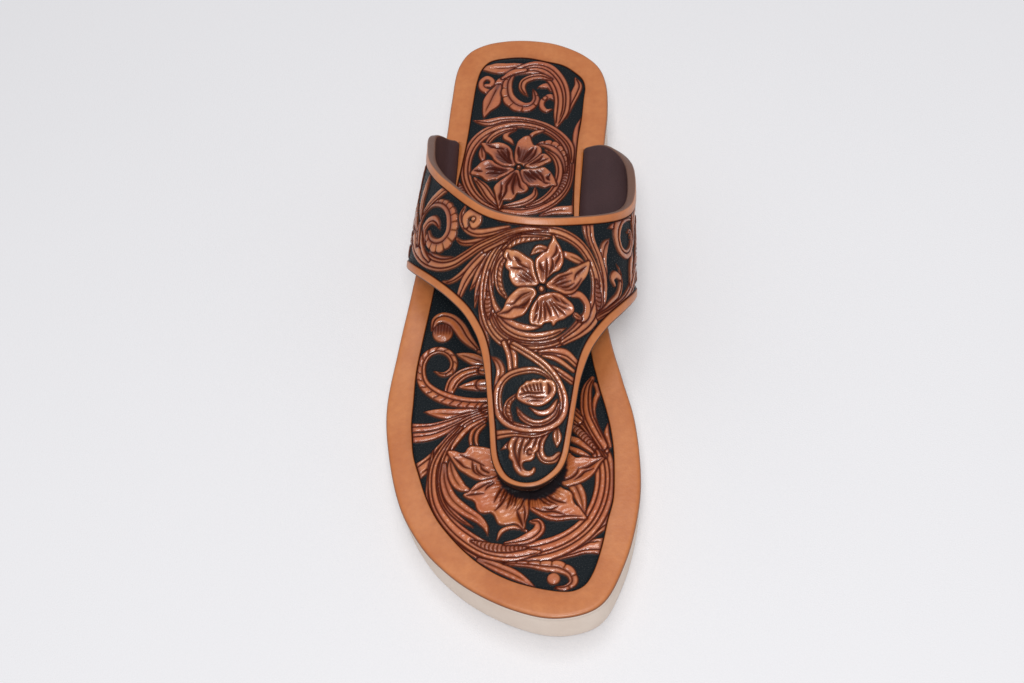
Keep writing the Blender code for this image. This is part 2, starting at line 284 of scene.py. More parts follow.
def vein_leaf(motif: Motif, at: Spots) -> Work:
    """Cuts a leaf's middle vein and its twigs.

    Args:
        motif: the leaf, with its number of vein pairs.
        at: where its samples lie.

    Returns:
        How far the leather sinks, the strength of the cut lines and the darkness of the dye.
    """
    s, aside = at.s, np.abs(at.share)
    vein = groove(at.share * at.half, 0.26) * eased((0.88 - s) / 0.2) * eased((s - 0.04) / 0.1)
    twigs = np.abs((s * motif.count - aside * 0.55) % 1.0 - 0.5)
    comb = groove(twigs * at.length / max(motif.count, 1), 0.22)
    comb *= eased((0.8 - aside) / 0.25) * (s > 0.1) * (s < 0.85) * (motif.count > 0)
    sunk = 0.4 * groove(at.share * at.half, 0.5) * (s < 0.9) + 0.15 * comb
    return sunk, np.maximum(vein, 0.75 * comb), 0.55 * groove(at.share * at.half, 1.1) * (1.0 - s)


def part_lobes(motif: Motif, at: Spots) -> Work:
    """Parts the left side of a motif into lobes above a rim.

    Args:
        motif: the shape, with its number of lobes.
        at: where its samples lie.

    Returns:
        How far the leather sinks, the strength of the cut lines and the darkness of the dye.
    """
    spoke = np.abs((motif.count * at.s + 0.5) % 1.0 - 0.5) * at.length / motif.count
    rim = (at.share - 0.02) * at.half
    lines = np.maximum(groove(spoke) * eased((at.share - 0.05) / 0.25), groove(rim))
    return 0.3 * lines, lines, 0.5 * groove(rim, 0.9)


def cut_beads(motif: Motif, at: Spots) -> Work:
    """Cuts a row of curved strokes along the left half of a stem.

    Args:
        motif: the stem, whose width sets how far apart the strokes are.
        at: where its samples lie.

    Returns:
        How far the leather sinks, the strength of the cut lines and the darkness of the dye.
    """
    turns = max(2, round(at.length / float(np.clip(1.45 * max(motif.left), 1.7, 3.1))))
    u = ((at.s * turns) % 1.0 - 0.5) * at.length / turns
    v = at.share - 0.42
    stroke = groove(u - 0.5 * np.sin(4.5 * v), 0.26) * eased((0.55 - np.abs(v)) / 0.15)
    stroke = stroke * (at.s > 0.05) * (at.s < 0.93)
    return 0.35 * stroke, stroke, 0.6 * np.exp(-np.abs(u) / 0.5) * eased((0.6 - np.abs(v)) / 0.2)


def stamp_crescents(motif: Motif, at: Spots) -> Work:
    """Stamps a row of crescents along a motif.

    Args:
        motif: the shape, taken here only as the other ways of working take it.
        at: where its samples lie.

    Returns:
        How far the leather sinks, the strength of the cut lines and the darkness of the dye.
    """
    turns = max(2, round(at.length / 1.45))
    u = ((at.s * turns) % 1.0 - 0.5) * at.length / turns
    aside = np.abs(at.share)
    stroke = groove(u - 0.55 * aside**2 + 0.2) * eased((0.95 - aside) / 0.2)
    stroke = stroke * (at.s > 0.04) * (at.s < 0.96)
    return 0.35 * stroke, stroke, 0.45 * eased((1.0 - aside) / 0.5)


# What is done to the inside of a shape, in order. A cut that isn't here leaves it smooth.
WORKERS: dict[Cut, tuple[Callable[[Motif, Spots], Work], ...]] = {
    Cut.STEMS: (part_stems,),
    Cut.LEAF: (vein_leaf,),
    Cut.SCALLOPS: (part_lobes,),
    Cut.BEADS: (part_stems, cut_beads),
    Cut.STAMPS: (part_stems, stamp_crescents),
}


@dataclass
class Tooling:
    """A raster of carved leather.

    Its four layers are the height above the leather's face, the share of black dye, the strength of
    the cut lines and the darkness of the antique paste. The dye and the paste layers also carry
    painted shade where an oval of it is laid.

    Args:
        low: its lowest x and y.
        high: its highest x and y.
        stretch: length along the leather for each unit of y.
        cell: distance between samples.
        ground: depth of the matted ground below the leather's face.
        bevel: width of the slope that the beveller leaves round a shape.
        swell: how much wider a shape is than its widths say.
        step: distance between the points of a spine.
    """

    low: tuple[float, float]
    high: tuple[float, float]
    stretch: float = 1.0
    cell: float = 0.15
    ground: float = 0.85
    bevel: float = 1.1
    swell: float = 0.18
    step: float = 0.35
    height: Array = field(init=False)
    ink: Array = field(init=False)
    cut: Array = field(init=False)
    tone: Array = field(init=False)

    def __post_init__(self) -> None:
        """Starts with bare matted ground everywhere."""
        self.origin = np.array([self.low[0], self.low[1] * self.stretch])
        span = np.array([self.high[0], self.high[1] * self.stretch]) - self.origin
        across, along = np.ceil(span / self.cell).astype(int) + 1
        self.height = np.full((along, across), -self.ground)
        self.ink = np.ones((along, across))
        self.cut = np.zeros((along, across))
        self.tone = np.zeros((along, across))

    def window(self, points: Array, margin: float) -> Array:
        """Finds the part of the raster round some points.

        Args:
            points: (x, y) rows.
            margin: how far round them it reaches.

        Returns:
            Its first column and row, and the column and row past its last.
        """
        low = np.floor((points.min(axis=0) - margin - self.origin) / self.cell)
        high = np.ceil((points.max(axis=0) + margin - self.origin) / self.cell) + 1
        return np.clip(np.array([low, high]), 0, self.height.shape[::-1]).astype(int)

    def strip(self, path: Array, reach: float) -> tuple[tuple[slice, slice], Array, Array, Array]:
        """Measures every sample near a path by its place along and across the path.

        Args:
            path: evenly spaced points.
            reach: how far from the path samples matter.

        Returns:
            The window of the raster, the distance to the path, the place along it from 0 to 1 and
            the signed distance across it, positive on the left.
        """
        (x0, y0), (x1, y1) = self.window(path, reach)
        tangent = np.gradient(path, axis=0)
        tangent /= np.linalg.norm(tangent, axis=1)[:, None]
        near = np.full((max(y1 - y0, 0), max(x1 - x0, 0)), np.inf)
        along = np.zeros_like(near)
        across = np.zeros_like(near)
        spacing = np.linalg.norm(path[1] - path[0])
        chunk = 16
        for start in range(0, len(path) - 1, chunk):
            piece = path[start : start + chunk + 1]
            (a, c), (b, d) = self.window(piece, reach)
            if b <= a or d <= c:
                continue
            gx = self.origin[0] + self.cell * np.arange(a, b)
            gy = self.origin[1] + self.cell * np.arange(c, d)
            dx = gx[None, :, None] - piece[:, 0]
            dy = gy[:, None, None] - piece[:, 1]
            square = dx * dx + dy * dy
            k = np.argmin(square, axis=2)
            best = np.take_along_axis(square, k[..., None], 2)[..., 0]
            t = tangent[start : start + chunk + 1][k]
            dx = np.take_along_axis(np.broadcast_to(dx, square.shape), k[..., None], 2)[..., 0]
            dy = np.take_along_axis(np.broadcast_to(dy, square.shape), k[..., None], 2)[..., 0]
            past = np.clip(dx * t[..., 0] + dy * t[..., 1], -0.5 * spacing, 0.5 * spacing)
            best = np.sqrt(np.maximum(best - past**2, 0.0))
            place = (start + k) * spacing + past
            side = t[..., 0] * dy - t[..., 1] * dx
            part = (slice(c - y0, d - y0), slice(a - x0, b - x0))
            closer = best < near[part]
            near[part] = np.where(closer, best, near[part])
            along[part] = np.where(closer, place, along[part])
            across[part] = np.where(closer, side, across[part])
        total = spacing * (len(path) - 1)
        return (slice(y0, y1), slice(x0, x1)), near, np.clip(along / total, 0.0, 1.0), across

    def carve(self, motif: Motif) -> None:
        """Carves one motif over what is there.

        Args:
            motif: the shape to carve.
        """
        knots = np.array(motif.path, dtype=float).reshape(-1, 2) * (1.0, self.stretch)
        if motif.cut is Cut.BROAD:
            self.spread(motif, smooth_path(knots, self.step, closed=True))
            return
        path = smooth_path(knots, self.step, closed=False)
        length = self.step * (len(path) - 1)
        left = np.array(motif.left, dtype=float)
        right = np.array(motif.right or motif.left, dtype=float)
        reach = max(left.max(), right.max()) + self.bevel + 0.8
        where, near, s, d = self.strip(path, reach)
        if not near.size:
            return
        half = np.where(d >= 0, self.profile(left, s), self.profile(right, s))
        if motif.cut is not Cut.KNIFE:
            half = half + self.swell * np.clip((half - 0.2) / 0.4, 0.0, 1.0)
        if motif.cut is Cut.SCALLOPS:
            lobes = np.abs(np.sin(np.pi * motif.count * s))
            half = np.where(d >= 0, half * (0.8 + 0.2 * lobes**0.6), half)
        if motif.cut is Cut.KNIFE:
            self.score(where, near, half)
            return
        depth = np.where(near < reach, half - near, -reach)
        share = np.clip(d / np.maximum(half, 0.05), -1.0, 1.0)
        worked = self.work(motif, Spots(s, share, half, depth, length))
        self.lay(where, depth, half > 0.05, worked)

    def spread(self, motif: Motif, path: Array) -> None:
        """Carves a broad petal inside a closed outline.

        Args:
            motif: the petal.
            path: the outline, finely spaced.
        """
        (x0, y0), (x1, y1) = self.window(path, 2.0)
        gx, gy = np.meshgrid(np.arange(x0, x1), np.arange(y0, y1))
        points = self.origin + self.cell * np.column_stack([gx.ravel(), gy.ravel()])
        depth = distance_inside(path, points).reshape(gx.shape) + 2.0 * self.swell
        shade = 0.5 * np.clip(1.0 - depth / 0.8, 0.0, 1.0) ** 1.5
        rise = -0.4 * eased((depth - 0.5) / 2.0)
        lines = np.zeros_like(depth)
        if motif.left:
            dark, reach = motif.left
            away = points - np.array(motif.right) * (1.0, self.stretch)
            far = np.hypot(away[:, 0], away[:, 1]).reshape(gx.shape)
            turn = np.arctan2(away[:, 1], away[:, 0]).reshape(gx.shape) / (2 * np.pi) * motif.count
            bowl = eased((depth - 0.7) / 1.2) * (1.0 - eased((far - 0.6 * reach) / (0.4 * reach)))
            offset = (turn - np.floor(turn) - 0.5) * 2 * np.pi * far / motif.count
            lines = 0.7 * groove(offset, 0.2) * bowl
            shade = np.maximum(shade, dark * bowl)
            rise = rise - 0.15 * lines
        self.lay((slice(y0, y1), slice(x0, x1)), depth, np.ones_like(depth), (rise, lines, shade))

    def lay(self, where: tuple[slice, slice], depth: Array, present: Array, worked: Work) -> None:
        """Lays a worked shape over what is there and bevels the leather round it.

        Args:
            where: the window of the raster.
            depth: distance inside the shape's edge.
            present: where the shape has any width.
            worked: its height, its cut lines and its shade.
        """
        rise, lines, shade = worked
        height, ink = self.height[where], self.ink[where]
        cut, tone = self.cut[where], self.tone[where]
        # Outside the edge the beveller sinks the leather, and antique paste gathers there.
        press = np.clip(1.0 + depth / self.bevel, 0.0, 1.0) * (depth < 0) * present
        leather = 1.0 - ink
        height -= 0.55 * press**2 * leather
        tone[:] = np.maximum(tone, 0.95 * press**1.3 * leather)
        # Inside it the shape is rounded over, with the knife's line along its edge.
        edge = groove(depth, 0.3) * present
        body = eased(depth / 0.22 + 0.5)
        dome = np.sqrt(np.clip(depth / 0.65, 0.0, 1.0))
        height[:] = height * (1.0 - body) + body * (rise - 0.36 * (1.0 - dome))
        ink[:] = ink * (1.0 - body)
        cut[:] = np.maximum(cut * (1.0 - body), np.maximum(edge * 0.9, body * lines))
        tone[:] = tone * (1.0 - body) + body * shade

    def score(self, where: tuple[slice, slice], near: Array, half: Array) -> None:
        """Draws one stroke of the swivel knife over raised leather.

        Args:
            where: the window of the raster.
            near: distance from the stroke.
            half: half its width.
        """
        leather = (1.0 - self.ink[where]) * (half > 0.05)
        deep = groove(near, np.maximum(half, 0.05)) * leather
        soft = groove(near, half + 0.45) * leather
        self.height[where] -= 0.3 * deep * np.minimum(half / 0.25, 1.6)
        self.cut[where] = np.maximum(self.cut[where], deep)
        self.tone[where] = np.maximum(self.tone[where], 0.55 * soft)

    @staticmethod
    def profile(stations: Array, s: Array) -> Array:
        """Reads widths given at even stations along a smooth line.

        Args:
            stations: the widths.
            s: where to read them, 0 to 1.

        Returns:
            The width at each place.
        """
        even = np.linspace(0.0, 1.0, 257)
        flat = hermite(stations[:, None], np.linspace(0.0, 1.0, len(stations)), even)[:, 0]
        return np.interp(s, even, np.maximum(flat, 0.0))

    @staticmethod
    def work(motif: Motif, at: Spots) -> Work:
        """Works the inside of a motif.

        Args:
            motif: the shape.
            at: where its samples lie.

        Returns:
            Height above the leather's face, strength of the cut lines and darkness of the dye.
        """
        rise, lines = np.zeros_like(at.s), np.zeros_like(at.s)
        shade = 0.6 * np.clip(1.0 - at.depth / 0.9, 0.0, 1.0) ** 1.5
        for worker in WORKERS.get(motif.cut, ()):
            sunk, drawn, dark = worker(motif, at)
            rise = rise - sunk
            lines = np.maximum(lines, drawn)
            shade = np.maximum(shade, dark)
        return rise, lines, shade

    def ball(self, x: float, y: float, radius: float, rays: int = 0) -> None:
        """Carves a round bud or seed.

        Args:
            x: centre.
            y: centre.
            radius: its size.
            rays: number of shading lines on it, or -1 for the eye of a flower in its dark pit.
        """
        spot = np.array([[x, y * self.stretch], [x + 0.01, y * self.stretch]])
        where, near, _, _ = self.strip(spot, radius + self.bevel)
        depth = radius - near
        gx = self.origin[0] + self.cell * np.arange(where[1].start, where[1].stop)[None, :]
        gy = self.origin[1] + self.cell * np.arange(where[0].start, where[0].stop)[:, None]
        up = gy / self.stretch - y
        height, ink = self.height[where], self.ink[where]
        cut, tone = self.cut[where], self.tone[where]
        press = np.clip(1.0 + depth / self.bevel, 0.0, 1.0) * (depth < 0)
        height -= 0.5 * press**2 * (1.0 - ink)
        tone[:] = np.maximum(tone, 0.8 * press**1.5 * (1.0 - ink))
        if rays < 0:
            pit = eased((1.25 + depth) / 0.5) * (depth < 0)
            ink[:] = np.maximum(ink, pit)
            height -= 0.5 * pit
        body = eased(depth / 0.22 + 0.5)
        dome = np.sqrt(np.clip(1.0 - (near / radius) ** 2, 0.0, 1.0))
        hatch, dark = np.zeros_like(near), 0.25 * (1.0 - 0.6 * dome)
        if rays > 0:
            offset = np.abs((gx - x) / radius * rays / 2.0 % 1.0 - 0.5) * 2.0 * radius / rays
            hatch = groove(offset, 0.2) * (up > -0.2 * radius)
            dark = 0.12 + 0.55 * eased(up / radius + 0.6)
        height[:] = height * (1.0 - body) + body * (0.15 * dome - 0.4 * (1.0 - dome) - 0.15 * hatch)
        ink[:] = ink * (1.0 - body)
        cut[:] = np.maximum(cut * (1.0 - body), np.maximum(0.9 * groove(depth), body * 0.7 * hatch))
        tone[:] = tone * (1.0 - body) + body * dark

    def handle(self, rise: float) -> None:
        """Leaves the raised leather as uneven as hand pressure leaves it.

        Args:
            rise: height of each of the waves it is made of.
        """
        waves = ((0.3, 2.7, 0.4), (1.5, 3.4, 1.9), (2.5, 2.2, 3.1), (0.9, 4.9, 5.0), (2.0, 1.7, 0.7))
        rows, columns = np.indices(self.height.shape) * self.cell
        total = np.zeros_like(self.height)
        for turn, size, shift in waves:
            place = math.cos(turn) * columns + math.sin(turn) * rows
            total += np.sin(2 * math.pi * place / size + shift + 0.8 * np.sin(0.9 * rows - 0.7 * columns))
        self.height += rise * total * (1.0 - self.ink)

    def age(self, ends: bool, start: float, stop: float, shade: float) -> None:
        """Darkens the raised leather towards the heel or towards both sides.

        Args:
            ends: True to darken towards the heel, False towards both sides.
            start: place where the shade sets in.
            stop: place from which it is full.
            shade: the full shade.
        """
        rows, columns = np.indices(self.height.shape) * self.cell
        place = (rows + self.origin[1]) / self.stretch if ends else np.abs(columns + self.origin[0])
        self.tone += shade * eased((place - start) / (stop - start)) * (1.0 - self.ink)

    def paint_shade_oval(self, x: float, y: float, wide: float, long: float) -> None:
        """Paints shade into an oval as black dye and dark paste: the shade under the tongue's tip.

        Args:
            x: its centre.
            y: its centre.
            wide: half its width.
            long: half its length.
        """
        gx = (self.origin[0] + self.cell * np.arange(self.height.shape[1]) - x) / wide
        gy = ((self.origin[1] + self.cell * np.arange(self.height.shape[0])) / self.stretch - y) / long
        turn = np.arctan2(gy[:, None], gx[None, :])
        out = np.hypot(gx[None, :], gy[:, None]) + 0.012 * np.sin(23.0 * turn) + 0.01 * np.sin(41.0 * turn)
        painted_shade = eased((1.0 - out) / 0.12)
        self.ink = np.maximum(self.ink, 0.85 * painted_shade)
        self.tone = np.maximum(self.tone, painted_shade)

    def read(self, layer: Array, x: Array, y: Array) -> Array:
        """Reads one layer between its samples.

        Args:
            layer: the height, the ink, the cut or the tone.
            x: where to read it.
            y: where to read it.

        Returns:
            The value at each place.
        """
        gx = np.clip((x - self.origin[0]) / self.cell, 0, layer.shape[1] - 1.001)
        gy = np.clip((y * self.stretch - self.origin[1]) / self.cell, 0, layer.shape[0] - 1.001)
        i, j = gx.astype(int), gy.astype(int)
        fx, fy = gx - i, gy - j
        near = layer[j, i] * (1 - fx) + layer[j, i + 1] * fx
        far = layer[j + 1, i] * (1 - fx) + layer[j + 1, i + 1] * fx
        return near * (1 - fy) + far * fy


# ---------------------------------------------------------------------------------------------
# The carver's pattern: later motifs lie over earlier ones
# ---------------------------------------------------------------------------------------------


def strokes(*rows: tuple[tuple[float, ...], tuple[float, ...]]) -> tuple[Motif, ...]:
    """Lists strokes of the swivel knife, each with its path and half its width along it."""
    return tuple(Motif(path, half, Cut.KNIFE) for path, half in rows)


INSOLE_MOTIFS: tuple[Motif, ...] = (
    # forefoot: leaves that fan out to the outer side
    Motif((-9, -46, -15, -47.5, -22, -48.6, -28, -48.2, -33.2, -47.6), (1.5, 1.8, 2.1, 1.9, 0.1),
          Cut.LEAF),
    Motif((-9, -46.6, -15, -48.8, -20, -50.5, -25, -52.6, -30, -54.1, -38, -54.6), (0.9, 1.0, 1.0, 1.3,
          1.5, 1.8), Cut.STEMS, 2),
    Motif((-10, -47.6, -15, -50, -20, -53, -25, -56, -30, -58, -38, -59), (0.9, 1.0, 1.0, 1.4, 1.8, 1.9),
          Cut.STEMS, 2),
    Motif((-9, -49, -15, -52, -20, -56.5, -25, -63, -29, -68.5, -35.5, -74.5), (1.5, 1.7, 2.0, 2.1, 2.6,
          3.2), Cut.STEMS, 3),
    Motif((-10, -51.5, -14, -55, -15, -59, -14.3, -63), (0.5, 0.7, 0.6, 0.5)),
    Motif((-10, -53.2, -12.6, -56.5, -12.9, -60, -12, -63), (0.4, 0.6, 0.6, 0.4)),
    # ring of stems round the big flower
    Motif((-28.6, -64, -29, -75, -28.6, -83, -25.6, -91, -20, -98, -13, -104, -4, -108.2, 5, -108.6, 13,
          -107.6), (0.2, 0.7, 1.0, 1.1, 1.2, 1.3, 1.5, 1.1, 0.3), Cut.STEMS, 2),
    Motif((8, -108, 16, -106.8, 23, -104.5, 28, -102.5, 35.5, -102), (0.9, 1.2, 1.7, 2.5, 3.2), Cut.STEMS,
          3),
    Motif((10, -105, 20, -103.6, 27, -100, 32, -95.6, 37.5, -91.3), (0.9, 1.3, 1.5, 1.7, 2.2), Cut.STEMS,
          2),
    Motif((20, -46, 26, -52.5, 31, -60.5, 34, -69, 34.5, -78, 32.6, -87, 28.4, -94.6, 21, -100.8, 12,
          -104.3, 2, -105.4), (2.4, 2.8, 3.0, 3.4, 3.5, 3.6, 3.7, 4.0, 4.2, 4.0), Cut.STEMS, 4),
    Motif((-19, -55, -24, -62.5, -27, -70, -27.2, -78, -25.3, -86, -20.5, -93.5, -14, -99.5, -6, -104.2,
          3, -105.6, 12, -104.6), (1.0, 1.4, 1.7, 1.9, 2.2, 2.5, 2.9, 3.0, 2.6, 0.5), Cut.STEMS, 3),
    Motif((-12, -100.6, -6, -102.6, 1, -103.4, 7, -103), (0.3, 1.4, 1.4, 0.4), Cut.STAMPS),
    Motif((-14, -52.5, -19.5, -58.5, -23, -65, -24.6, -72, -24.4, -79, -22, -86, -17.5, -91.3, -12, -95),
          (0.5, 1.2, 1.2, 1.1, 1.0, 1.0, 0.9, 0.2), Cut.STEMS, 2),
    Motif((-24, -70, -23.3, -77, -20.5, -83.6, -15.5, -88.3, -10.5, -91.6, -7.6, -94.8, -6.5, -98.3),
          (0.7, 1.4, 1.9, 2.1, 1.9, 1.3, 0.1), Cut.LEAF),
    Motif((-22, -67.8, -21.2, -72, -19.6, -76, -17.2, -79, -14.6, -80.2), (0.2, 1.3, 1.9, 1.9, 0.7),
          Cut.LEAF),
    Motif((-10, -50.5, -16, -54.5, -20, -60, -22.5, -65), (0.4, 0.8, 0.8, 0.3)),
    # curls under the flower
    Motif((-3, -99.8, -1.7, -96.6, 1.5, -95, 5, -95.2, 7.5, -96.6), (0.3, 0.7, 0.7, 0.7, 0.4)),
    Motif((0, -101.4, 5, -100.3, 9.4, -98.2, 11.6, -95.5, 11, -93, 8.4, -92.6), (0.6, 1.1, 1.9, 2.0, 1.7,
          0.4), Cut.STEMS, 2),
    Motif((-9, -108, -1, -111.4, 4, -113.8, 11.3, -118.4), (0.8, 1.8, 1.7, 0.1), Cut.LEAF),
    Motif((0, -109.2, 8, -109.6, 14, -110.3, 19.5, -111, 23, -113.3, 23.8, -116.2, 21.5, -118.2, 18.5,
          -118.3), (0.3, 1.0, 1.4, 2.2, 2.8, 2.4, 1.6, 0.8), Cut.SCALLOPS, 8, (0.3, 0.8, 1.0, 1.6, 1.8,
          1.2, 0.8, 0.4)),
    # big flower
    Motif((23.6, -77.6, 25.2, -81, 26.3, -84.4, 27.4, -90.2), (2.0, 2.1, 1.4, 0.1), Cut.LEAF, 0, (2.3,
          2.2, 1.3, 0.1)),
    Motif((-22.9, -64.6, -21.4, -67.4, -19.8, -69.8, -18.4, -71.6, -16.4, -73, -14, -74.6, -11.5, -75.8,
          -8, -76, -5, -75, 0, -73, 1, -68, -5, -64.5, -9, -63, -12.6, -62.5, -14.4, -62.3, -15.8, -63.4,
          -16.6, -65, -18.4, -65.2, -20.6, -64.4), (0.12, 20), Cut.BROAD, 64, (8.4, -76)),
    Motif((19, -77.4, 20.6, -78.2, 23.6, -77.6, 26.2, -76.6, 28.6, -75, 30.4, -73, 31.6, -70.8, 32.8,
          -68.6, 34.2, -66.6, 32, -67, 30, -67.2, 28.4, -66.5, 27, -66.2, 25.6, -66.8, 24, -67, 22.6,
          -66.2, 21, -64.8, 17, -66, 15, -72, 17, -76.4), (0.1, 14), Cut.BROAD, 64, (8.4, -76)),
    Motif((7, -86.2, 8.6, -88, 10.6, -89.4, 12.8, -90.8, 15.6, -91.8, 18.6, -92, 21.5, -91.5, 24.5, -91.2,
          28, -91.3, 26.7, -89, 25.5, -87.2, 23.8, -85.6, 23, -83.8, 22.8, -82, 21.8, -80.7, 19.8, -79.8,
          18.2, -78.6, 15, -75, 8, -76, 6, -82), (0.12, 15), Cut.BROAD, 64, (8.4, -76)),
    Motif((-6, -75.8, -9, -76.6, -11.3, -77.6, -13, -79.4, -14.1, -81.1, -16, -82.2, -14.6, -83.4, -12.9,
          -84, -11.6, -85.2, -11, -87.2, -9.9, -88.9, -8, -89.3, -6, -89, -4.6, -90, -3.6, -92, -2.9,
          -93.3, -1.4, -93.9, 0.6, -93.7, 2.4, -93.3, 4.2, -93.9, 6.1, -95.5, 6.5, -92.6, 7.2, -90, 7.3,
          -87.6, 7, -84.5, 7, -80, 4, -74, -1, -73.6), (0.12, 18), Cut.BROAD, 64, (8.4, -76)),
    # big flower: knife strokes
    *strokes(
        ((-18.4, -65.9, -15.5, -67, -12.6, -68.3, -9.5, -70.2), (0.2, 0.4, 0.35, 0.2)),
        ((-20.8, -66.9, -18.4, -68.9, -16.6, -70.7, -14, -71.6), (0.1, 0.5, 0.35, 0.1)),
        ((-13.9, -68.3, -13.5, -70.5, -12.9, -72.6, -10.6, -74.6), (0.1, 0.4, 0.35, 0.1)),
        ((-12.5, -70, -11.9, -72, -10, -73.9, -7, -74.7), (0.1, 0.4, 0.3, 0.1)),
        ((-10.8, -69.8, -10, -71.5, -7.6, -73), (0.1, 0.45, 0.3)),
        ((-13.2, -80.8, -11, -79.6, -9, -78.2, -6, -76.8), (0.1, 0.35, 0.35, 0.2)),
        ((-8.4, -80.2, -7.6, -78.8, -5.6, -77.4), (0.1, 0.45, 0.3)),
        ((-14.8, -82.5, -12.2, -81.8, -9, -81.6), (0.2, 0.4, 0.1)),
        ((-4.9, -85, -4.1, -82.6, -2.6, -79.6), (0.1, 0.45, 0.5)),
        ((-4.4, -88.4, -2.6, -86, -1.2, -83.4, 0, -80), (0.1, 0.45, 0.4, 0.5)),
        ((-2.8, -84.8, -2.2, -82.8, -1.2, -80), (0.1, 0.3, 0.4)),
        ((-0.3, -87.4, 0.4, -85.2, 1.4, -81), (0.1, 0.45, 0.5)),
        ((1.3, -86, 1.7, -84, 2.4, -81), (0.1, 0.3, 0.4)),
        ((2.6, -86.2, 2.8, -84, 3.4, -81), (0.1, 0.35, 0.4)),
        ((3.3, -88.2, 4.2, -90.6, 5, -92.6, 5.9, -95), (0.1, 0.6, 0.45, 0.1)),
        ((3.6, -88, 4.8, -86.4, 5.6, -84), (0.2, 0.3, 0.4)),
        ((6.2, -93.6, 6.3, -89.6, 5.9, -86.6), (0.1, 0.35, 0.1)),
        ((13.6, -81.6, 16.4, -83.7, 18.6, -84.6, 20.6, -85.1), (0.3, 0.45, 0.45, 0.1)),
        ((11.4, -83.4, 13.4, -85.2, 15.2, -86), (0.3, 0.35, 0.1)),
        ((12.6, -82.6, 15.2, -84.6, 17.4, -85.6), (0.3, 0.4, 0.1)),
        ((9, -87.2, 12.6, -88.5, 16.6, -88.5, 20.4, -89.8), (0.1, 0.45, 0.4, 0.1)),
        ((12.8, -87.2, 15.6, -87.6, 17.8, -86.6), (0.1, 0.4, 0.1)),
        ((14.4, -90.2, 17.6, -90.7, 21, -90.3, 26.4, -90.6), (0.1, 0.35, 0.3, 0.1)),
        ((33.2, -67.3, 30.4, -69, 28, -70.6, 25.4, -71.1), (0.1, 0.4, 0.55, 0.1)),
        ((24.9, -70.9, 24.4, -72.8, 22.6, -74.8, 19.6, -76.2), (0.1, 0.4, 0.4, 0.3)),
        ((30.2, -71.4, 27.2, -72.5, 25.7, -74.1, 23.6, -75.9), (0.15, 0.4, 0.4, 0.1)),
    ),
    # outer side of the ball: a bud, a beaded curl and leaves
    Motif((-12, -26.6, -15.5, -25.3, -19, -24, -22.8, -22.8), (1.8, 2.3, 1.5, 0.1), Cut.LEAF),
    Motif((-10, -36, -14, -36.1, -18, -36.6, -21.3, -37), (2.6, 2.3, 1.4, 0.1), Cut.LEAF),
    Motif((-10.5, -29.6, -15.5, -30, -19.5, -31.5, -22.8, -34.6, -24.6, -39.6), (1.9, 1.9, 2.1, 2.2, 1.7),
          Cut.STEMS, 3),
    Motif((-9, -43.6, -15, -43.8, -20, -43.3, -25, -42, -30, -39.5, -34, -35.8, -35.6, -31, -35.2, -26,
          -32.6, -22.4, -29, -21.3, -25.4, -22.8, -23.3, -26.5, -24, -30, -27, -31.6, -30.6, -30.2), (2.0,
          2.1, 2.3, 2.3, 2.0, 1.7, 1.5, 1.3, 1.3, 1.2, 0.2), Cut.BEADS, 2),
    Motif((-14, -21.6, -19, -16.2, -22.4, -11.2, -25.6, -8.4, -28.8, -7.6, -31.2, -9, -32.3, -12.6), (0.5,
          1.6, 2.3, 2.4, 2.2, 1.7, 0.5), Cut.STEMS, 2),
    # inner side of the ball: folded stems and a stamped strip
    Motif((35.2, -52.5, 34.8, -57, 36, -62), (0.2, 0.9, 0.7)),
    Motif((22, -59, 26, -60.8, 30, -64.8), (1.1, 1.4, 0.4)),
    Motif((21, -62.6, 25, -64.4, 29, -66.2), (0.7, 1.0, 0.3)),
    Motif((22.6, -54.2, 26, -57.2, 30.5, -62.6), (1.2, 1.4, 0.7), Cut.STAMPS),
    Motif((23, -49.6, 27, -54, 31, -59.5, 34.4, -66), (1.0, 1.1, 1.0, 0.6), Cut.STEMS, 2),
    Motif((28.6, -34.4, 30.5, -36.2, 31.5, -39, 30.4, -42.5, 29.9, -47, 30.8, -52.5, 33, -58, 35, -64),
          (0.3, 0.9, 0.8, 0.6, 0.6, 0.7, 0.8, 0.7)),
    Motif((29.2, -33.2, 27.4, -37, 26.9, -43, 27.6, -49, 30, -55, 33.6, -62), (0.7, 1.8, 2.0, 1.9, 1.8,
          1.5), Cut.STEMS, 3),
    # below the tongue and the band: the same stems carried on
    Motif((-10, -46.2, 0, -42.5, 10, -43, 18, -46, 24, -51), (1.8, 2.6, 3.0, 2.8, 2.0), Cut.STEMS, 4),
    Motif((-12, -30, -4, -30.5, 3, -33.5, 6, -39), (1.7, 1.8, 1.6, 0.4), Cut.STEMS, 2),
    Motif((-12, -36, -6, -35.6, -1, -37.6), (2.2, 1.6, 0.1), Cut.LEAF),
    Motif((-14, -22, -6, -24, 2, -22, 9, -24.5, 14, -31, 13, -37), (0.6, 1.7, 2.2, 2.1, 1.7, 0.4),
          Cut.STEMS, 3),
    Motif((16, -42, 20, -36, 21, -28, 17, -22), (0.8, 1.9, 1.9, 0.1), Cut.LEAF),
    Motif((4, -22, 12, -15, 20, -12, 25, -14), (0.5, 1.9, 1.8, 0.1), Cut.LEAF),
    Motif((-2, 36, -13, 31, -21, 22, -24, 11, -19, 1, -9, -4, 1, -1, 5, 7, 1, 14, -6, 14, -8, 8.5, -4,
          6.5), (0.8, 1.8, 2.2, 2.3, 2.2, 2.0, 1.8, 1.6, 1.3, 0.5), Cut.BEADS, 2),
    Motif((-20, 18, -24.6, 13.6, -26.6, 7.6), (0.4, 1.9, 0.1), Cut.LEAF),
    Motif((-9, -4, -2, -9, 6, -9, 13, -3, 15, 5), (0.8, 1.9, 2.2, 1.7, 0.1), Cut.STEMS, 2),
    Motif((4, 35, 12, 29, 17.5, 20, 18, 9, 14, 1), (0.8, 1.8, 2.2, 1.8, 0.3), Cut.STEMS, 3),
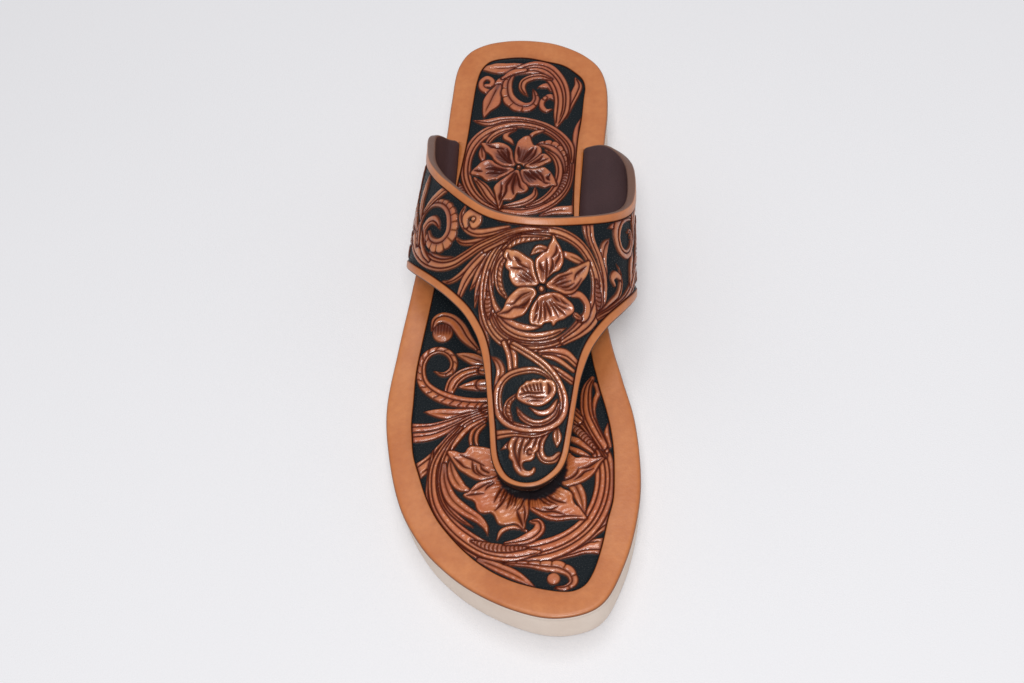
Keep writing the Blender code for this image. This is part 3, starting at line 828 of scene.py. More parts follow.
    Motif((2, 33, 4, 26, 1, 20, -6, 18), (0.5, 1.8, 1.8, 0.1), Cut.LEAF),
    Motif((-10, 26, -14, 20, -13, 14, -9, 11), (0.4, 1.7, 1.6, 0.1), Cut.LEAF),
    # heel seat: top of the panel
    Motif((1, 114.4, -5, 114.8, -10, 114.3, -15, 114.3, -18.6, 114.4), (2.2, 2.1, 2.6, 2.8, 1.2),
          Cut.LEAF),
    Motif((16, 87, 18, 94, 19.8, 99.5, 20.9, 104, 19.6, 108.2), (0.8, 1.3, 1.7, 1.7, 0.3), Cut.STEMS, 2),
    Motif((9.8, 101.6, 8.9, 103.9, 6.5, 104, 4.1, 103.3), (0.6, 1.3, 1.1, 0.2)),
    Motif((-10.2, 109, -12.6, 105.5, -13.4, 102, -16.5, 101.5, -19.3, 103.5, -19.6, 107, -17.3, 109.1,
          -15.1, 107.2, -15.6, 105, -17.7, 104.8), (1.4, 1.6, 1.8, 1.4, 1.2, 1.1, 1.0, 1.0, 1.0, 0.8)),
    Motif((-12.6, 104, -14.2, 99.5, -15.6, 95, -16.9, 91, -17.6, 86.9), (1.6, 3.2, 4.2, 2.0, 0.1),
          Cut.LEAF, 0, (1.2, 2.6, 3.0, 1.5, 0.1)),
    Motif((1.9, 102.8, 2.8, 100, 3.3, 96.6, 2, 93.8, -1, 92.7, -4.5, 94.1, -7.3, 97.6, -8.4, 102, -8.2,
          107, -6, 111.6), (0.1, 1.3, 1.9, 2.7, 3.1, 3.1, 2.8, 2.2, 1.6, 0.6), Cut.SCALLOPS, 8, (0.1, 0.9,
          1.3, 2.0, 2.5, 2.4, 2.0, 1.8, 1.4, 0.6)),
    Motif((13.2, 91, 12.4, 96.4, 9.2, 98.2, 6.6, 96.2, 6.2, 92.8, 8, 90.5, 10.4, 91.2), (1.0, 1.3, 1.3,
          1.1, 1.0, 1.0, 0.3)),
    Motif((-9, 110.6, -3, 113.2, 3, 114.2, 8, 112, 12, 106.5, 14.2, 99.5, 14.4, 91.5, 12.6, 81.8), (0.9,
          2.6, 3.8, 3.6, 3.4, 3.1, 2.8, 0.5), Cut.STEMS, 4),
    Motif((9.5, 107.6, 5, 109.3, 1, 108.6, -1.8, 106.6, -2.5, 103.6, -1.6, 101, 0.2, 98.5), (0.5, 1.2,
          1.4, 1.5, 1.4, 1.0, 0.1), Cut.STEMS, 2),
    Motif((-11, 108.6, -6.5, 112, -1.5, 113), (0.5, 1.2, 0.8)),
    # heel seat: flower in a ring
    Motif((22.6, 86.4, 20.9, 81, 20.5, 75, 21.2, 66, 21, 50, 20.6, 38), (0.2, 1.0, 0.9, 0.6, 0.6, 0.6)),
    Motif((7.5, 36.8, 13, 38.7, 20.2, 39.2), (0.4, 1.7, 2.0), Cut.LEAF),
    Motif((-27, 53, -22, 46.6, -16, 42.4, -10, 39.6), (1.3, 1.6, 1.4, 0.5), Cut.STAMPS),
    Motif((-8, 39.4, -15, 42.9, -20, 48.5, -22.9, 56, -23.2, 64, -21.4, 72, -17.4, 78, -11, 82, -4, 83.6,
          3, 82.6, 10, 79.3, 15.3, 73.5, 18, 66, 18.5, 58, 17, 50, 13, 44, 7, 40, 0, 38.6, -8, 39.6),
          (1.2, 1.8, 2.0, 1.9, 2.3, 2.3, 2.0, 1.8, 1.7, 1.7, 1.8, 2.0, 1.8, 1.2), Cut.STEMS, 3),
    Motif((-21.8, 85.8, -16, 84.6, -10, 86.1, -4, 86.3, 3, 84.9, 9, 82.2, 15, 77, 18.6, 71, 19.4, 63),
          (0.2, 1.7, 1.3, 1.1, 1.0, 1.1, 1.2, 1.1, 0.4), Cut.STEMS, 2),
    Motif((-19.5, 55.5, -15.6, 50.6, -12.6, 45.6, -8.8, 41), (0.5, 1.9, 1.9, 0.9), Cut.STEMS, 3),
    Motif((-7, 41.2, -2, 42.2, 2, 43.8, 4.9, 46.6, 5, 50.6), (0.6, 1.3, 1.6, 1.3, 0.2), Cut.STEMS, 2),
    Motif((16.9, 67, 17.2, 58, 16, 51.6, 13.4, 46.8, 9.5, 43), (0.4, 1.1, 1.2, 1.1, 0.3), Cut.STAMPS),
    Motif((5.2, 72.6, 8.5, 72.4, 12, 71, 14.6, 68, 16.4, 63.5, 17, 58), (0.6, 2.5, 2.3, 1.6, 1.0, 0.5),
          Cut.SCALLOPS, 8, (0.5, 1.6, 2.2, 1.6, 1.0, 0.5)),
    Motif((8.3, 69.8, 12.4, 65.6, 14.3, 60, 14, 54, 12, 48.5, 8, 44, 2, 41), (0.3, 1.1, 1.3, 1.3, 1.2,
          1.1, 0.4), Cut.STEMS, 2),
    Motif((-4.5, 80.6, -7.3, 79, -8, 76.6, -6, 74.8, -4.6, 72.6), (0.6, 1.0, 1.1, 0.9, 0.2)),
    Motif((7.2, 79.6, 4, 78.7, 2, 76.8, 1, 75), (0.4, 0.8, 0.8, 0.3)),
    Motif((-17.6, 71.6, -17.2, 68, -16.6, 64.6), (0.3, 1.3, 0.8), Cut.LEAF),
    Motif((-15.4, 73.6, -13.2, 77, -9.5, 79.8, -4, 81.2), (0.9, 1.2, 1.1, 0.4), Cut.STEMS, 2),
    Motif((-17.6, 73.4, -16.5, 71.4, -15.7, 69.4, -14.3, 68.2, -12.9, 66.6, -12, 64.8, -10.6, 63.4, -9,
          62.2, -7, 61.7, -4.9, 61.6, -3.4, 61.8, -3.6, 63, -4.3, 64.6, -4.9, 66.8, -5.2, 68.8, -5.9,
          70.6, -7.1, 72, -8.8, 73.1, -10.7, 73.6, -12.7, 73.4, -14.4, 73, -16, 73.4), (0.65, 15),
          Cut.BROAD, 44, (-2, 61.2)),
    Motif((-1, 62, 0.8, 61.9, 2.6, 63, 4, 64.3, 5.4, 65.7, 6.5, 67.2, 6.8, 68.8, 6.5, 70.4, 5.6, 71.5,
          3.6, 72, 2.6, 74, 1.5, 76.8, -0.2, 76.6, -1.4, 75.6, -2.6, 74.2, -3.2, 72, -3.6, 69, -3.6, 66,
          -3.2, 63.6), (0.6, 12), Cut.BROAD, 40, (-2, 61.2)),
    Motif((0.8, 61.2, 2, 60.6, 3.6, 60.4, 5.7, 60.9, 7.6, 61.8, 9, 62.8, 10.8, 63.8, 10.5, 65, 9.6, 66.3,
          8.4, 67.3, 7.1, 67.2, 5.8, 65.8, 4.4, 64.4, 2.8, 63, 1.4, 62), (0.4, 11), Cut.BROAD, 40, (-2,
          61.2)),
    Motif((-0.8, 59.2, -1.1, 57.6, -0.7, 55.4, 0.1, 53.8, 1.3, 52.4, 2.8, 51.4, 4.6, 51.3, 6.2, 51.3, 7.6,
          50.7, 9, 50.4, 10.4, 51, 11.8, 51.5, 13.3, 51.2, 12.9, 53, 12.1, 55.4, 10.9, 57.7, 9.8, 59.1,
          8.2, 60.4, 6.4, 59.9, 4, 59.6, 1.6, 59.6), (0.65, 13), Cut.BROAD, 44, (-2, 61.2)),
    Motif((-4.2, 59, -6, 56.8, -7.7, 54.9, -9.3, 53.5, -10.7, 51.8, -11.3, 50.2, -10.9, 48.5, -10.4, 46.6,
          -9.9, 44.3, -9.3, 42, -8.8, 40.2, -7.9, 42.4, -7.5, 44.3, -6, 44.4, -4.3, 44.4, -3.2, 45.3,
          -2.7, 46.8, -1.9, 47.8, -0.4, 47.8, 1.2, 48.3, 2.1, 49.7, 1.3, 51.6, -0.1, 53, -0.9, 55, -1.6,
          57.2, -2.2, 59.2), (0.45, 14), Cut.BROAD, 40, (-2, 61.2)),
    Motif((-21, 57.8, -19.3, 57.1, -17.5, 56.8, -16.3, 56, -15.3, 54.8, -14, 54.2, -12.2, 54.8, -10.3,
          54.8, -9, 55.8, -7.2, 56.9, -5.4, 58.3, -3.9, 59.7, -5.2, 60.5, -7.6, 60.5, -9.9, 61.6, -11.8,
          62.9, -13, 64.2, -14.6, 64.6, -16, 64.1, -17.4, 63.2, -18.6, 61.6, -20, 60), (0.65, 16),
          Cut.BROAD, 44, (-2, 61.2)),
    # heel seat: knife strokes on the flower
    *strokes(
        ((-12, 71, -10.2, 71, -8.6, 70.6), (0.2, 0.6, 0.3)),
        ((-7.2, 70.4, -6.4, 68, -6.2, 65.6, -5, 63.4), (0.2, 0.6, 0.6, 0.2)),
        ((-11, 69.6, -9, 66.8, -6.6, 64, -5, 62.6), (0.2, 0.5, 0.5, 0.2)),
        ((-9.6, 69.8, -8, 67.4, -6.4, 65), (0.2, 0.6, 0.2)),
        ((-15.6, 72.8, -13.6, 71.8, -11.6, 71.2), (0.1, 0.5, 0.2)),
        ((-0.4, 64.6, 1, 67, 2.6, 69.4, 3.4, 70.6), (0.3, 0.9, 0.9, 0.3)),
        ((4.8, 70.4, 4.2, 68, 3, 65.6, 1.6, 63.6), (0.2, 0.5, 0.5, 0.2)),
        ((-2.4, 71, -2.4, 68.6, -2, 66), (0.3, 0.6, 0.2)),
        ((7.4, 66.4, 6.4, 64.8, 4.6, 63.4, 2.6, 62), (0.2, 0.5, 0.5, 0.2)),
        ((9.6, 64.8, 7.6, 64.2, 5.6, 63), (0.1, 0.5, 0.2)),
        ((0.6, 58.4, 2.6, 56.6, 5, 54.6), (0.3, 0.8, 0.3)),
        ((2.8, 58.8, 5, 56.6, 7.4, 54), (0.3, 0.7, 0.3)),
        ((5.6, 58.6, 7.4, 56.6, 8.6, 53.4), (0.2, 0.5, 0.2)),
        ((10.8, 57, 9.8, 55.4, 10.6, 54), (0.2, 0.7, 0.2)),
        ((7.6, 53.6, 9, 52.8, 10.8, 52.2), (0.1, 0.4, 0.1)),
        ((-3.6, 58, -5, 55, -6.4, 52, -6.6, 48.6, -8, 45, -8.8, 41.4), (0.2, 0.5, 0.5, 0.5, 0.4, 0.1)),
        ((-3.2, 57.6, -3.6, 54, -4, 50.4, -3.4, 47), (0.3, 0.8, 0.6, 0.2)),
        ((-2.6, 57.4, -1.8, 54, -1, 51, 0.6, 49), (0.2, 0.5, 0.4, 0.1)),
        ((-8.6, 53, -8.4, 50, -8.8, 47.6), (0.1, 0.4, 0.1)),
        ((-8.4, 48.6, -8.8, 46.4, -9, 44), (0.2, 0.7, 0.1)),
        ((-15, 60.4, -12.6, 60.6, -9.6, 59.8, -6.6, 59.4), (0.3, 0.9, 0.7, 0.2)),
        ((-14.8, 57.8, -12.4, 58.4, -9.4, 58, -6.8, 58.6), (0.2, 0.7, 0.5, 0.2)),
        ((-19.6, 59.2, -18, 59.4, -16.8, 59), (0.2, 0.6, 0.2)),
    ),
)
INSOLE_BALLS: tuple[tuple[float, ...], ...] = (
    (17.4, -115.0, 2.3, 0),
    (-28.3, -14.1, 3.9, 7),
    (8.4, -76.0, 4.2, 6),
    (-2.0, 61.0, 0.8, -1),
    (7.3, 97.2, 1.0, 0),
)
UPPER_MOTIFS: tuple[Motif, ...] = (
    # band: stems that leave the ring for the outer wing
    Motif((-13.2, 3.1, -9, 1.2, -4, 0.0, 3, -0.9, 9, -1.0), (0.1, 0.6, 0.8, 0.8, 0.5)),
    Motif((-36.2, -12.9, -33, -13.9, -28, -13.2, -22, -10.5, -14, -6.6), (0.3, 0.9, 1.0, 0.9, 0.7),
          Cut.STEMS, 2),
    Motif((-29, -19.2, -26, -15.6, -22, -12.4, -16, -9, -10, -5.8), (1.2, 1.7, 1.3, 1.0, 0.3), Cut.STEMS,
          2),
    Motif((-24.2, -18.5, -21.4, -16.2, -19, -13.4, -15.5, -10, -11, -6.5), (0.2, 1.3, 1.0, 0.8, 0.6),
          Cut.STEMS, 2),
    Motif((-22.5, -24, -21, -19, -18, -14.4, -14, -10, -9, -6), (0.3, 1.0, 1.0, 0.9, 0.6), Cut.STEMS, 2),
    # band: ring round the instep flower
    Motif((22, 2.4, 22.8, -1, 24.6, -4.5), (0.9, 0.9, 0.5)),
    Motif((33.4, 1.2, 31, -2.4, 30.4, -6.5, 31.6, -11, 32, -16), (0.1, 1.5, 1.5, 1.1, 0.7), Cut.LEAF),
    Motif((24.2, 3.4, 25, -2, 28.4, -7, 31, -12.5, 31.3, -18, 29, -24), (1.3, 1.4, 1.4, 1.3, 1.2, 0.8),
          Cut.STEMS, 2),
    Motif((-20.2, -21, -19.9, -26, -18.8, -31, -17, -35.6, -16.2, -38.2), (0.5, 0.9, 0.9, 0.8, 0.1)),
    Motif((-9, -37.4, -11.5, -34.6, -14.6, -31.6), (0.7, 0.7, 0.4)),
    Motif((-5.5, -5, -10.5, -8.2, -14.6, -13, -17.2, -19, -17.5, -25, -15.6, -30.4, -11.5, -34.8, -5.6,
          -37.6, 1, -38.4, 8, -37.2, 15, -33.4, 21, -28), (1.0, 1.9, 2.5, 2.6, 2.5, 2.3, 2.3, 2.1, 1.8,
          1.5, 1.6, 1.8), Cut.STEMS, 4),
    Motif((-15.3, -14, -15.6, -19.5, -14.6, -24, -12, -27.8, -7.5, -31, -2, -32.6, 3.8, -32.4), (0.2, 0.5,
          0.7, 1.0, 1.0, 0.9, 0.1)),
    Motif((-14.4, -27.4, -10.4, -31.8, -5, -34.6, 1, -35.4, 7, -34.4, 13.4, -31.9), (0.4, 1.1, 1.3, 1.3,
          1.1, 0.1), Cut.STEMS, 2),
    Motif((12, -36, 19, -31.6, 24.6, -26.4, 27.6, -20.5, 27.6, -14.6, 25, -9.4, 20.4, -5.3, 14, -3.1, 6,
          -2.6, -2, -3.4, -9, -5.2, -16, -7.4), (1.2, 1.9, 2.6, 2.8, 2.5, 2.0, 1.9, 1.8, 1.7, 1.5, 1.3,
          0.8), Cut.STEMS, 3),
    Motif((27.9, -24, 28.1, -19, 27.3, -14.6), (0.4, 1.3, 0.4), Cut.STAMPS),
    Motif((-16.7, -28.4, -17, -24, -16.7, -20.6), (0.3, 1.2, 0.4), Cut.STAMPS),
    Motif((8.6, -5, 2, -5.3, -4, -6, -8.4, -8.2), (0.3, 0.9, 1.3, 0.9), Cut.BEADS, 2),
    Motif((-8.2, -10, -11, -12.8, -12.2, -16.4, -11.8, -20, -9.6, -23), (0.7, 1.2, 1.3, 1.2, 0.4),
          Cut.BEADS, 2),
    Motif((11, -21.3, 16, -21.2, 20, -20.8, 22.7, -22.8, 22.4, -25.8, 20, -28, 16.8, -27.6), (0.3, 0.8,
          1.1, 1.3, 1.2, 1.0, 0.3)),
    Motif((22.6, -10.6, 18.5, -9.9, 14.4, -9.3), (0.4, 1.4, 1.1), Cut.LEAF),
    Motif((19.4, -27.7, 17.9, -27.4, 16.3, -26.7), (0.7, 1.0, 0.1), Cut.LEAF),
    # band: instep flower
    Motif((8.2, -9.2, 4.5, -8.5, 0.8, -10.6), (1.2, 1.2, 0.1), Cut.LEAF),
    Motif((-7.6, -8.5, -8.6, -9.6, -8.9, -10.4, -7.8, -11.4, -8.6, -12.8, -8.6, -13.8, -7.5, -14.8, -7.6,
          -16.4, -7.2, -17.8, -6.4, -18.9, -5.2, -19.6, -3.4, -19.8, -1, -19.8, 1, -19.7, 2.8, -19.4, 3.3,
          -19, 2.5, -17.6, 1.9, -16, 1.6, -14.2, 1.6, -12.8, 1, -12, -0.8, -11.1, -2.2, -10.2, -4, -9.2,
          -6, -8.9), (0.55, 12), Cut.BROAD, 50, (4.2, -20.7)),
    Motif((10.1, -4, 9.8, -5.2, 9.2, -6.2, 8.4, -7.3, 7.9, -8.4, 7, -9.4, 5.5, -9.9, 4.2, -10.9, 3, -11.8,
          2.7, -13.2, 2.8, -14.8, 3.2, -16.4, 3.7, -18.2, 4.5, -19.2, 5.6, -18.6, 6.4, -17.3, 7.7, -16.3,
          9.3, -15.2, 11.2, -14.4, 12.4, -13, 13.1, -11.4, 13.1, -9.7, 12.7, -8.3, 12, -7, 11, -5.6),
          (0.5, 11), Cut.BROAD, 44, (4.2, -20.7)),
    Motif((23.9, -9.5, 22.3, -10.3, 20.7, -11.2, 19.2, -12.1, 17.6, -12.9, 16, -13.5, 14.7, -14.5, 13.1,
          -15.3, 11.3, -15.9, 9.7, -16.9, 8.1, -18, 6.4, -19.3, 6.6, -19.9, 8.9, -20.4, 11, -20.9, 13.1,
          -21.3, 14.9, -21.1, 17, -20.2, 18.8, -18.6, 19.9, -17.2, 21, -15.9, 22, -14.9, 22.9, -13.6,
          23.6, -11.8), (0.55, 15), Cut.BROAD, 50, (4.2, -20.7)),
    Motif((3.4, -23, 2.2, -24.2, 1, -25.4, 0, -26.8, -0.6, -28.4, -0.8, -30.2, -0.3, -31.4, 0.8, -31.5,
          2.2, -31.8, 3.6, -31.7, 4.6, -30.9, 6.2, -30.6, 7.6, -30.4, 8.2, -31.4, 9.2, -30.4, 10.6, -29.6,
          12.4, -29, 14, -28, 15.6, -27.1, 16.7, -26, 16.6, -24.7, 15.4, -23.7, 13.8, -22.9, 12.2, -22.1,
          10.4, -21.7, 8.2, -21.8, 6, -22.2, 4.6, -22.6), (0.35, 10), Cut.BROAD, 44, (4.2, -20.7)),
    Motif((-13.2, -27.5, -11.2, -28.5, -9.3, -29.1, -7.2, -29.3, -5.3, -28.9, -3.5, -28.5, -2.3, -27.5,
          -1.4, -26.4, -0.6, -25.3, 0.3, -24, 1.6, -22.7, 1.9, -21.8, 1, -20.8, -0.8, -20.5, -2.7, -20.4,
          -4.5, -20.6, -6.1, -21.4, -7.4, -22.2, -8.8, -23.3, -9.8, -24.6, -10.5, -25.9, -11.8, -27),
          (0.4, 12), Cut.BROAD, 40, (4.2, -20.7)),
    # band: knife strokes on the flower
    *strokes(
        ((-7, -14, -5, -14.4, -3, -14.6, -1.6, -15.4), (0.15, 0.4, 0.4, 0.1)),
        ((-4.5, -12, -3.5, -13, -1.8, -14, 0.2, -14.6), (0.2, 0.45, 0.35, 0.1)),
        ((-5, -10.9, -4, -11.8, -3, -12.4), (0.2, 0.6, 0.2)),
        ((-7.4, -9.6, -7.2, -11, -6.2, -12), (0.1, 0.4, 0.1)),
        ((-4.6, -16.4, -2.4, -17.6, 0.4, -18.9), (0.1, 0.3, 0.1)),
        ((-3.4, -15.8, -1.4, -16.9, 1.2, -18.4), (0.1, 0.3, 0.1)),
        ((-1.6, -15.6, 0, -16.6, 1.6, -17.8), (0.1, 0.3, 0.1)),
        ((4.2, -12.8, 4.6, -14.4, 5.6, -15.6), (0.2, 0.7, 0.2)),
        ((6.9, -11.4, 6.8, -13.4, 6.6, -15.6, 6.2, -18), (0.15, 0.45, 0.4, 0.2)),
        ((9, -11.4, 9.2, -13, 8.4, -14.8, 7.2, -16.4), (0.2, 0.6, 0.5, 0.1)),
        ((11, -7, 10.9, -8.8, 9.8, -10.2, 8.8, -11), (0.15, 0.45, 0.4, 0.1)),
        ((12.1, -9, 11.6, -10.8, 10.6, -12.2, 10, -13.6), (0.1, 0.4, 0.4, 0.1)),
        ((22.4, -11.4, 20, -13.4, 18.4, -14.8, 17.6, -16.4), (0.1, 0.5, 0.5, 0.1)),
        ((9.4, -17.9, 12, -16.5, 14.6, -15.5, 16.6, -14.6), (0.1, 0.35, 0.35, 0.1)),
        ((8.6, -19.1, 11, -17.7, 14, -16.4), (0.1, 0.35, 0.1)),
        ((10, -19.4, 13, -18.2, 16, -17), (0.1, 0.4, 0.1)),
        ((12, -19.8, 15, -19, 17.4, -17.6), (0.1, 0.4, 0.1)),
        ((13.5, -20.4, 16.4, -19.6, 18.8, -17.8, 20.4, -15.6), (0.1, 0.35, 0.35, 0.1)),
        ((2.4, -24.6, 2.2, -26.4, 1.2, -28.4), (0.15, 0.5, 0.1)),
        ((2.2, -28.2, 1.2, -29.6, 0.6, -30.8), (0.1, 0.4, 0.1)),
        ((3.8, -24.6, 3.6, -27, 3.2, -29.2, 2.4, -31), (0.1, 0.35, 0.4, 0.1)),
        ((4.8, -25, 5.2, -27.4, 5, -30), (0.1, 0.5, 0.2)),
        ((5.6, -24.8, 6.6, -26.8, 7.4, -28.6), (0.2, 0.7, 0.3)),
        ((7.2, -24.6, 9.2, -27, 10.4, -28.8), (0.15, 0.35, 0.1)),
        ((8, -24.6, 10.6, -26.4, 13.2, -27.8), (0.1, 0.5, 0.2)),
        ((8.6, -22.6, 10.2, -23.6, 11.6, -24.2), (0.2, 0.5, 0.1)),
        ((9.6, -24.8, 12, -25.6, 14.8, -26), (0.1, 0.35, 0.1)),
        ((11.4, -23.2, 13, -24.2, 14.6, -24.6), (0.1, 0.4, 0.1)),
        ((-12.4, -27.6, -9, -27.2, -7, -26.2, -5, -26.2, -2.6, -26.6), (0.1, 0.4, 0.35, 0.5, 0.15)),
        ((-9.4, -25, -7, -25, -5.4, -23.8, -3, -22.4, -0.8, -22), (0.1, 0.3, 0.45, 0.4, 0.1)),
        ((-4.6, -25.8, -3, -25.6, -1.4, -24.6, -0.4, -23.6), (0.2, 0.9, 0.6, 0.1)),
        ((-7.2, -6.9, -6.6, -5.6), (0.3, 0.3)),
        ((-6.2, -6.5, -5.6, -5.2), (0.3, 0.3)),
        ((-5.2, -6.1, -4.6, -4.8), (0.3, 0.3)),
        ((-4.2, -5.7, -3.6, -4.4), (0.3, 0.3)),
        ((-3.2, -5.3, -2.6, -4), (0.3, 0.3)),
        ((-2.2, -5, -1.6, -3.7), (0.3, 0.3)),
    ),
    # tongue: leaves above its ring
    Motif((-10.6, -36.6, -8.6, -40.6, -7.6, -46), (0.7, 0.8, 0.7)),
    Motif((-8.6, -36.4, -6.6, -40.4, -5.8, -45.4), (0.5, 0.8, 0.6)),
    Motif((-15.4, -40.2, -12.6, -42.4, -11.2, -45.3, -11.8, -49, -12.6, -53), (0.1, 1.0, 1.5, 1.1, 0.6),
          Cut.LEAF),
    Motif((3, -40.3, 8, -39.8, 13, -40, 16.6, -42), (0.8, 1.3, 1.7, 1.4), Cut.STEMS, 2),
    Motif((4, -41.2, 9, -41.8, 15.6, -44.6), (0.4, 0.8, 0.6)),
    Motif((6.5, -44.4, 10, -45.6, 14.8, -47.8), (0.7, 1.1, 1.3), Cut.STEMS, 2),
    Motif((8.9, -62.8, 8.8, -66, 8.6, -69.2), (0.1, 1.4, 0.3), Cut.LEAF),
    # tongue: acanthus at the tip
    Motif((5.6, -64.6, 3.4, -68, 3, -71.5, 4.4, -73.8, 7, -73.7, 9.2, -71.8), (0.7, 1.0, 1.1, 1.2, 1.2,
          0.9), Cut.STEMS, 2),
    Motif((-1.5, -67, -5.4, -68.3, -9.4, -70.2), (1.4, 1.3, 0.1), Cut.LEAF),
    Motif((3.9, -65.6, -1, -65.4, -5, -66, -6.3, -67.6, -6.9, -69.6, -6.3, -71.2, -6.4, -72.8, -5.3,
          -74.2, -4.9, -76, -3.7, -78.2, -2, -79.5, 0, -79.3, 1.2, -77.8, 1.1, -76.8, 0.2, -77.9, -1.4,
          -77.9, -2.6, -76.6, -2.7, -75.2, -1.8, -74.4, -0.2, -74.2, 1, -73.1, 1.1, -71.8, 2.2, -70.6,
          2.4, -68.4), (0.3, 9), Cut.BROAD, 24, (-0.5, -62)),
    *strokes(
        ((-4, -66.6, -5, -69, -4.9, -71.6, -3.9, -74.4, -2.8, -77.6), (0.2, 0.5, 0.4, 0.5, 0.1)),
        ((-2, -66.4, -2.9, -69, -3.6, -71.8, -3.3, -74.4), (0.2, 0.4, 0.5, 0.1)),
        ((0.2, -66.6, -0.6, -68.4, -1.9, -70.2, -2.1, -72), (0.2, 0.45, 0.35, 0.1)),
        ((2, -66.8, 1.2, -69, 0.4, -70.4), (0.2, 0.45, 0.1)),
        ((0.4, -71.2, -0.4, -70.6, -1.1, -71.4, -0.7, -72.4, 0.1, -72.2), (0.2, 0.3, 0.3, 0.3, 0.2)),
    ),
    # tongue: ring and bud
    Motif((-11.4, -65.4, -5, -65.3, 1, -65.9, 5.4, -64.2, 9.2, -61, 12, -56.4), (1.6, 1.1, 1.1, 1.2, 1.2,
          0.8), Cut.STEMS, 2),
    Motif((-7, -37.6, 0, -41.4, 5, -44.4, 9, -48.2, 11.4, -52.8, 11.3, -57.2, 8.6, -61.4, 4, -63.7, -2,
          -64, -7.4, -62, -10.6, -58.4, -11.6, -54, -10.9, -49.8, -8.3, -47.2, -4, -46, 2, -45.9, 6,
          -47.6, 8.6, -50.6), (1.1, 1.3, 1.4, 1.5, 1.5, 1.3, 1.2, 1.3, 1.3, 1.1, 0.9, 0.2), Cut.STEMS, 2),
    Motif((-5, -53.4, -7.6, -55.6, -8, -58.4, -6, -61.8), (0.5, 1.0, 1.0, 0.2), Cut.BEADS, 2),
    Motif((-4.8, -57.2, -3, -60.2, 0.4, -62.2, 4.4, -61.9, 8, -59.4, 9.9, -55.6), (0.1, 0.9, 1.0, 0.9,
          0.8, 0.3), Cut.STEMS, 2),
    Motif((-0.4, -57.6, 3, -59.2, 6.4, -58.3, 9.2, -54.6), (0.2, 0.8, 0.8, 0.3)),
    Motif((8.6, -50.2, 7.8, -49, 5.6, -48.6, 4.4, -49, 3.2, -48.6, 2, -49.1, 0.8, -48.8, -0.4, -49.4,
          -1.6, -49.4, -2.4, -50.2, -3.6, -51, -4.5, -52.8, -4.6, -54.3, -2.8, -55.6, 0, -56.6, 2.8,
          -56.8, 5.2, -55.9, 7.4, -54, 8.6, -52), (), Cut.BROAD),
    *strokes(
        ((6, -49.9, 6.6, -51.3, 6.1, -53), (0.3, 0.85, 0.3)),
        ((-3.1, -51.5, -2.2, -52.7), (0.35, 0.3)),
        ((-1.9, -50.9, -1.1, -52.4), (0.35, 0.3)),
        ((-0.6, -50.6, 0.1, -52.2), (0.35, 0.3)),
        ((0.7, -50.4, 1.3, -52.1), (0.35, 0.3)),
        ((2, -50.2, 2.5, -52), (0.35, 0.3)),
        ((3.3, -50.1, 3.7, -52), (0.35, 0.3)),
        ((-3.8, -53.4, -1.4, -52.9, 1.6, -53, 4.8, -52.6), (0.2, 0.4, 0.4, 0.1)),
        ((-3, -54.5, -0.6, -54, 2, -54.5, 5.2, -54.1), (0.1, 0.35, 0.35, 0.1)),
        ((-1.2, -55.5, 1.2, -55.3, 3.8, -55.4), (0.1, 0.3, 0.1)),
    ),
    # outer wing
    Motif((-40.4, -1.6, -38.6, -4.2, -35.4, -6, -30, -7), (0.6, 1.6, 1.2, 0.4), Cut.LEAF),
    Motif((-27.4, -0.8, -25, -3.2, -20, -4.2, -13, -3.6, -7, -2.6), (0.3, 0.9, 0.9, 0.7, 0.1), Cut.STEMS,
          2),
    Motif((-21.8, 8.5, -23.6, 6, -23.4, 2.8, -21.3, 0, -18, -1.7, -13, -2.2, -6, -1.8), (0.4, 1.0, 1.2,
          1.4, 1.3, 1.1, 0.7), Cut.STEMS, 2),
    Motif((-22.2, 1.6, -22, 4.4, -19.6, 5.5, -17.2, 4.2, -17.1, 2, -19, 1.0, -20.2, 2.4), (0.8, 1.2, 1.4,
          1.4, 1.3, 1.2, 0.5)),
    Motif((8, -2.4, 0, -2.6, -6, -3.4, -12, -4.8, -18, -6, -24, -7.6, -30, -8.6, -36, -7.6, -42, -4.2,
          -46, 0, -49.6, 6, -52, 14, -52.5, 24), (0.2, 0.6, 0.9, 1.2, 1.4, 1.6, 1.9, 2.3, 2.7, 2.9, 2.8,
          2.2, 0.4), Cut.STEMS, 3),
    Motif((-43.2, 3, -43.4, 7.8, -40.6, 9.6, -37.4, 9.2, -35.2, 7, -34.2, 4.2), (0.8, 1.4, 1.7, 1.6, 1.2,
          0.1), Cut.STEMS, 2),
    Motif((-44.4, 9, -44.8, 4, -43.6, -0.5, -41.4, -4), (0.2, 0.7, 0.8, 0.5)),
    Motif((-47.6, 5, -46.8, 11.5, -43.5, 14.8, -39, 15.7, -34.5, 14.4, -30.8, 11.8, -28.8, 8.5, -28.5,
          4.5, -30, 1.2, -33, -0.3, -36.5, 0.2, -39.5, 2.6, -40.4, 5.6), (1.3, 1.5, 1.3, 1.2, 1.4, 1.8,
          2.3, 3.0, 3.6, 3.7, 3.0, 1.4), Cut.SCALLOPS, 20, (1.2, 1.4, 1.2, 1.2, 1.3, 1.5, 1.8, 2.0, 1.9,
          1.7, 1.5, 0.8)),
    Motif((-45, 15, -39.4, 17, -34.6, 18, -29.6, 18.6), (0.5, 1.4, 1.8, 1.7), Cut.STEMS, 2),
    Motif((-46, 14, -46.6, 21, -44, 27, -41.6, 32), (0.8, 1.6, 1.6, 0.2), Cut.STEMS, 2),
    Motif((-52, 12, -58, 19, -60, 28, -57, 37, -50, 41), (0.6, 2.2, 2.7, 2.2, 0.1), Cut.STEMS, 3),
    Motif((-55, 10, -62, 9.5, -69, 12.5, -74, 18.5), (0.5, 2.3, 2.6, 0.1), Cut.LEAF),
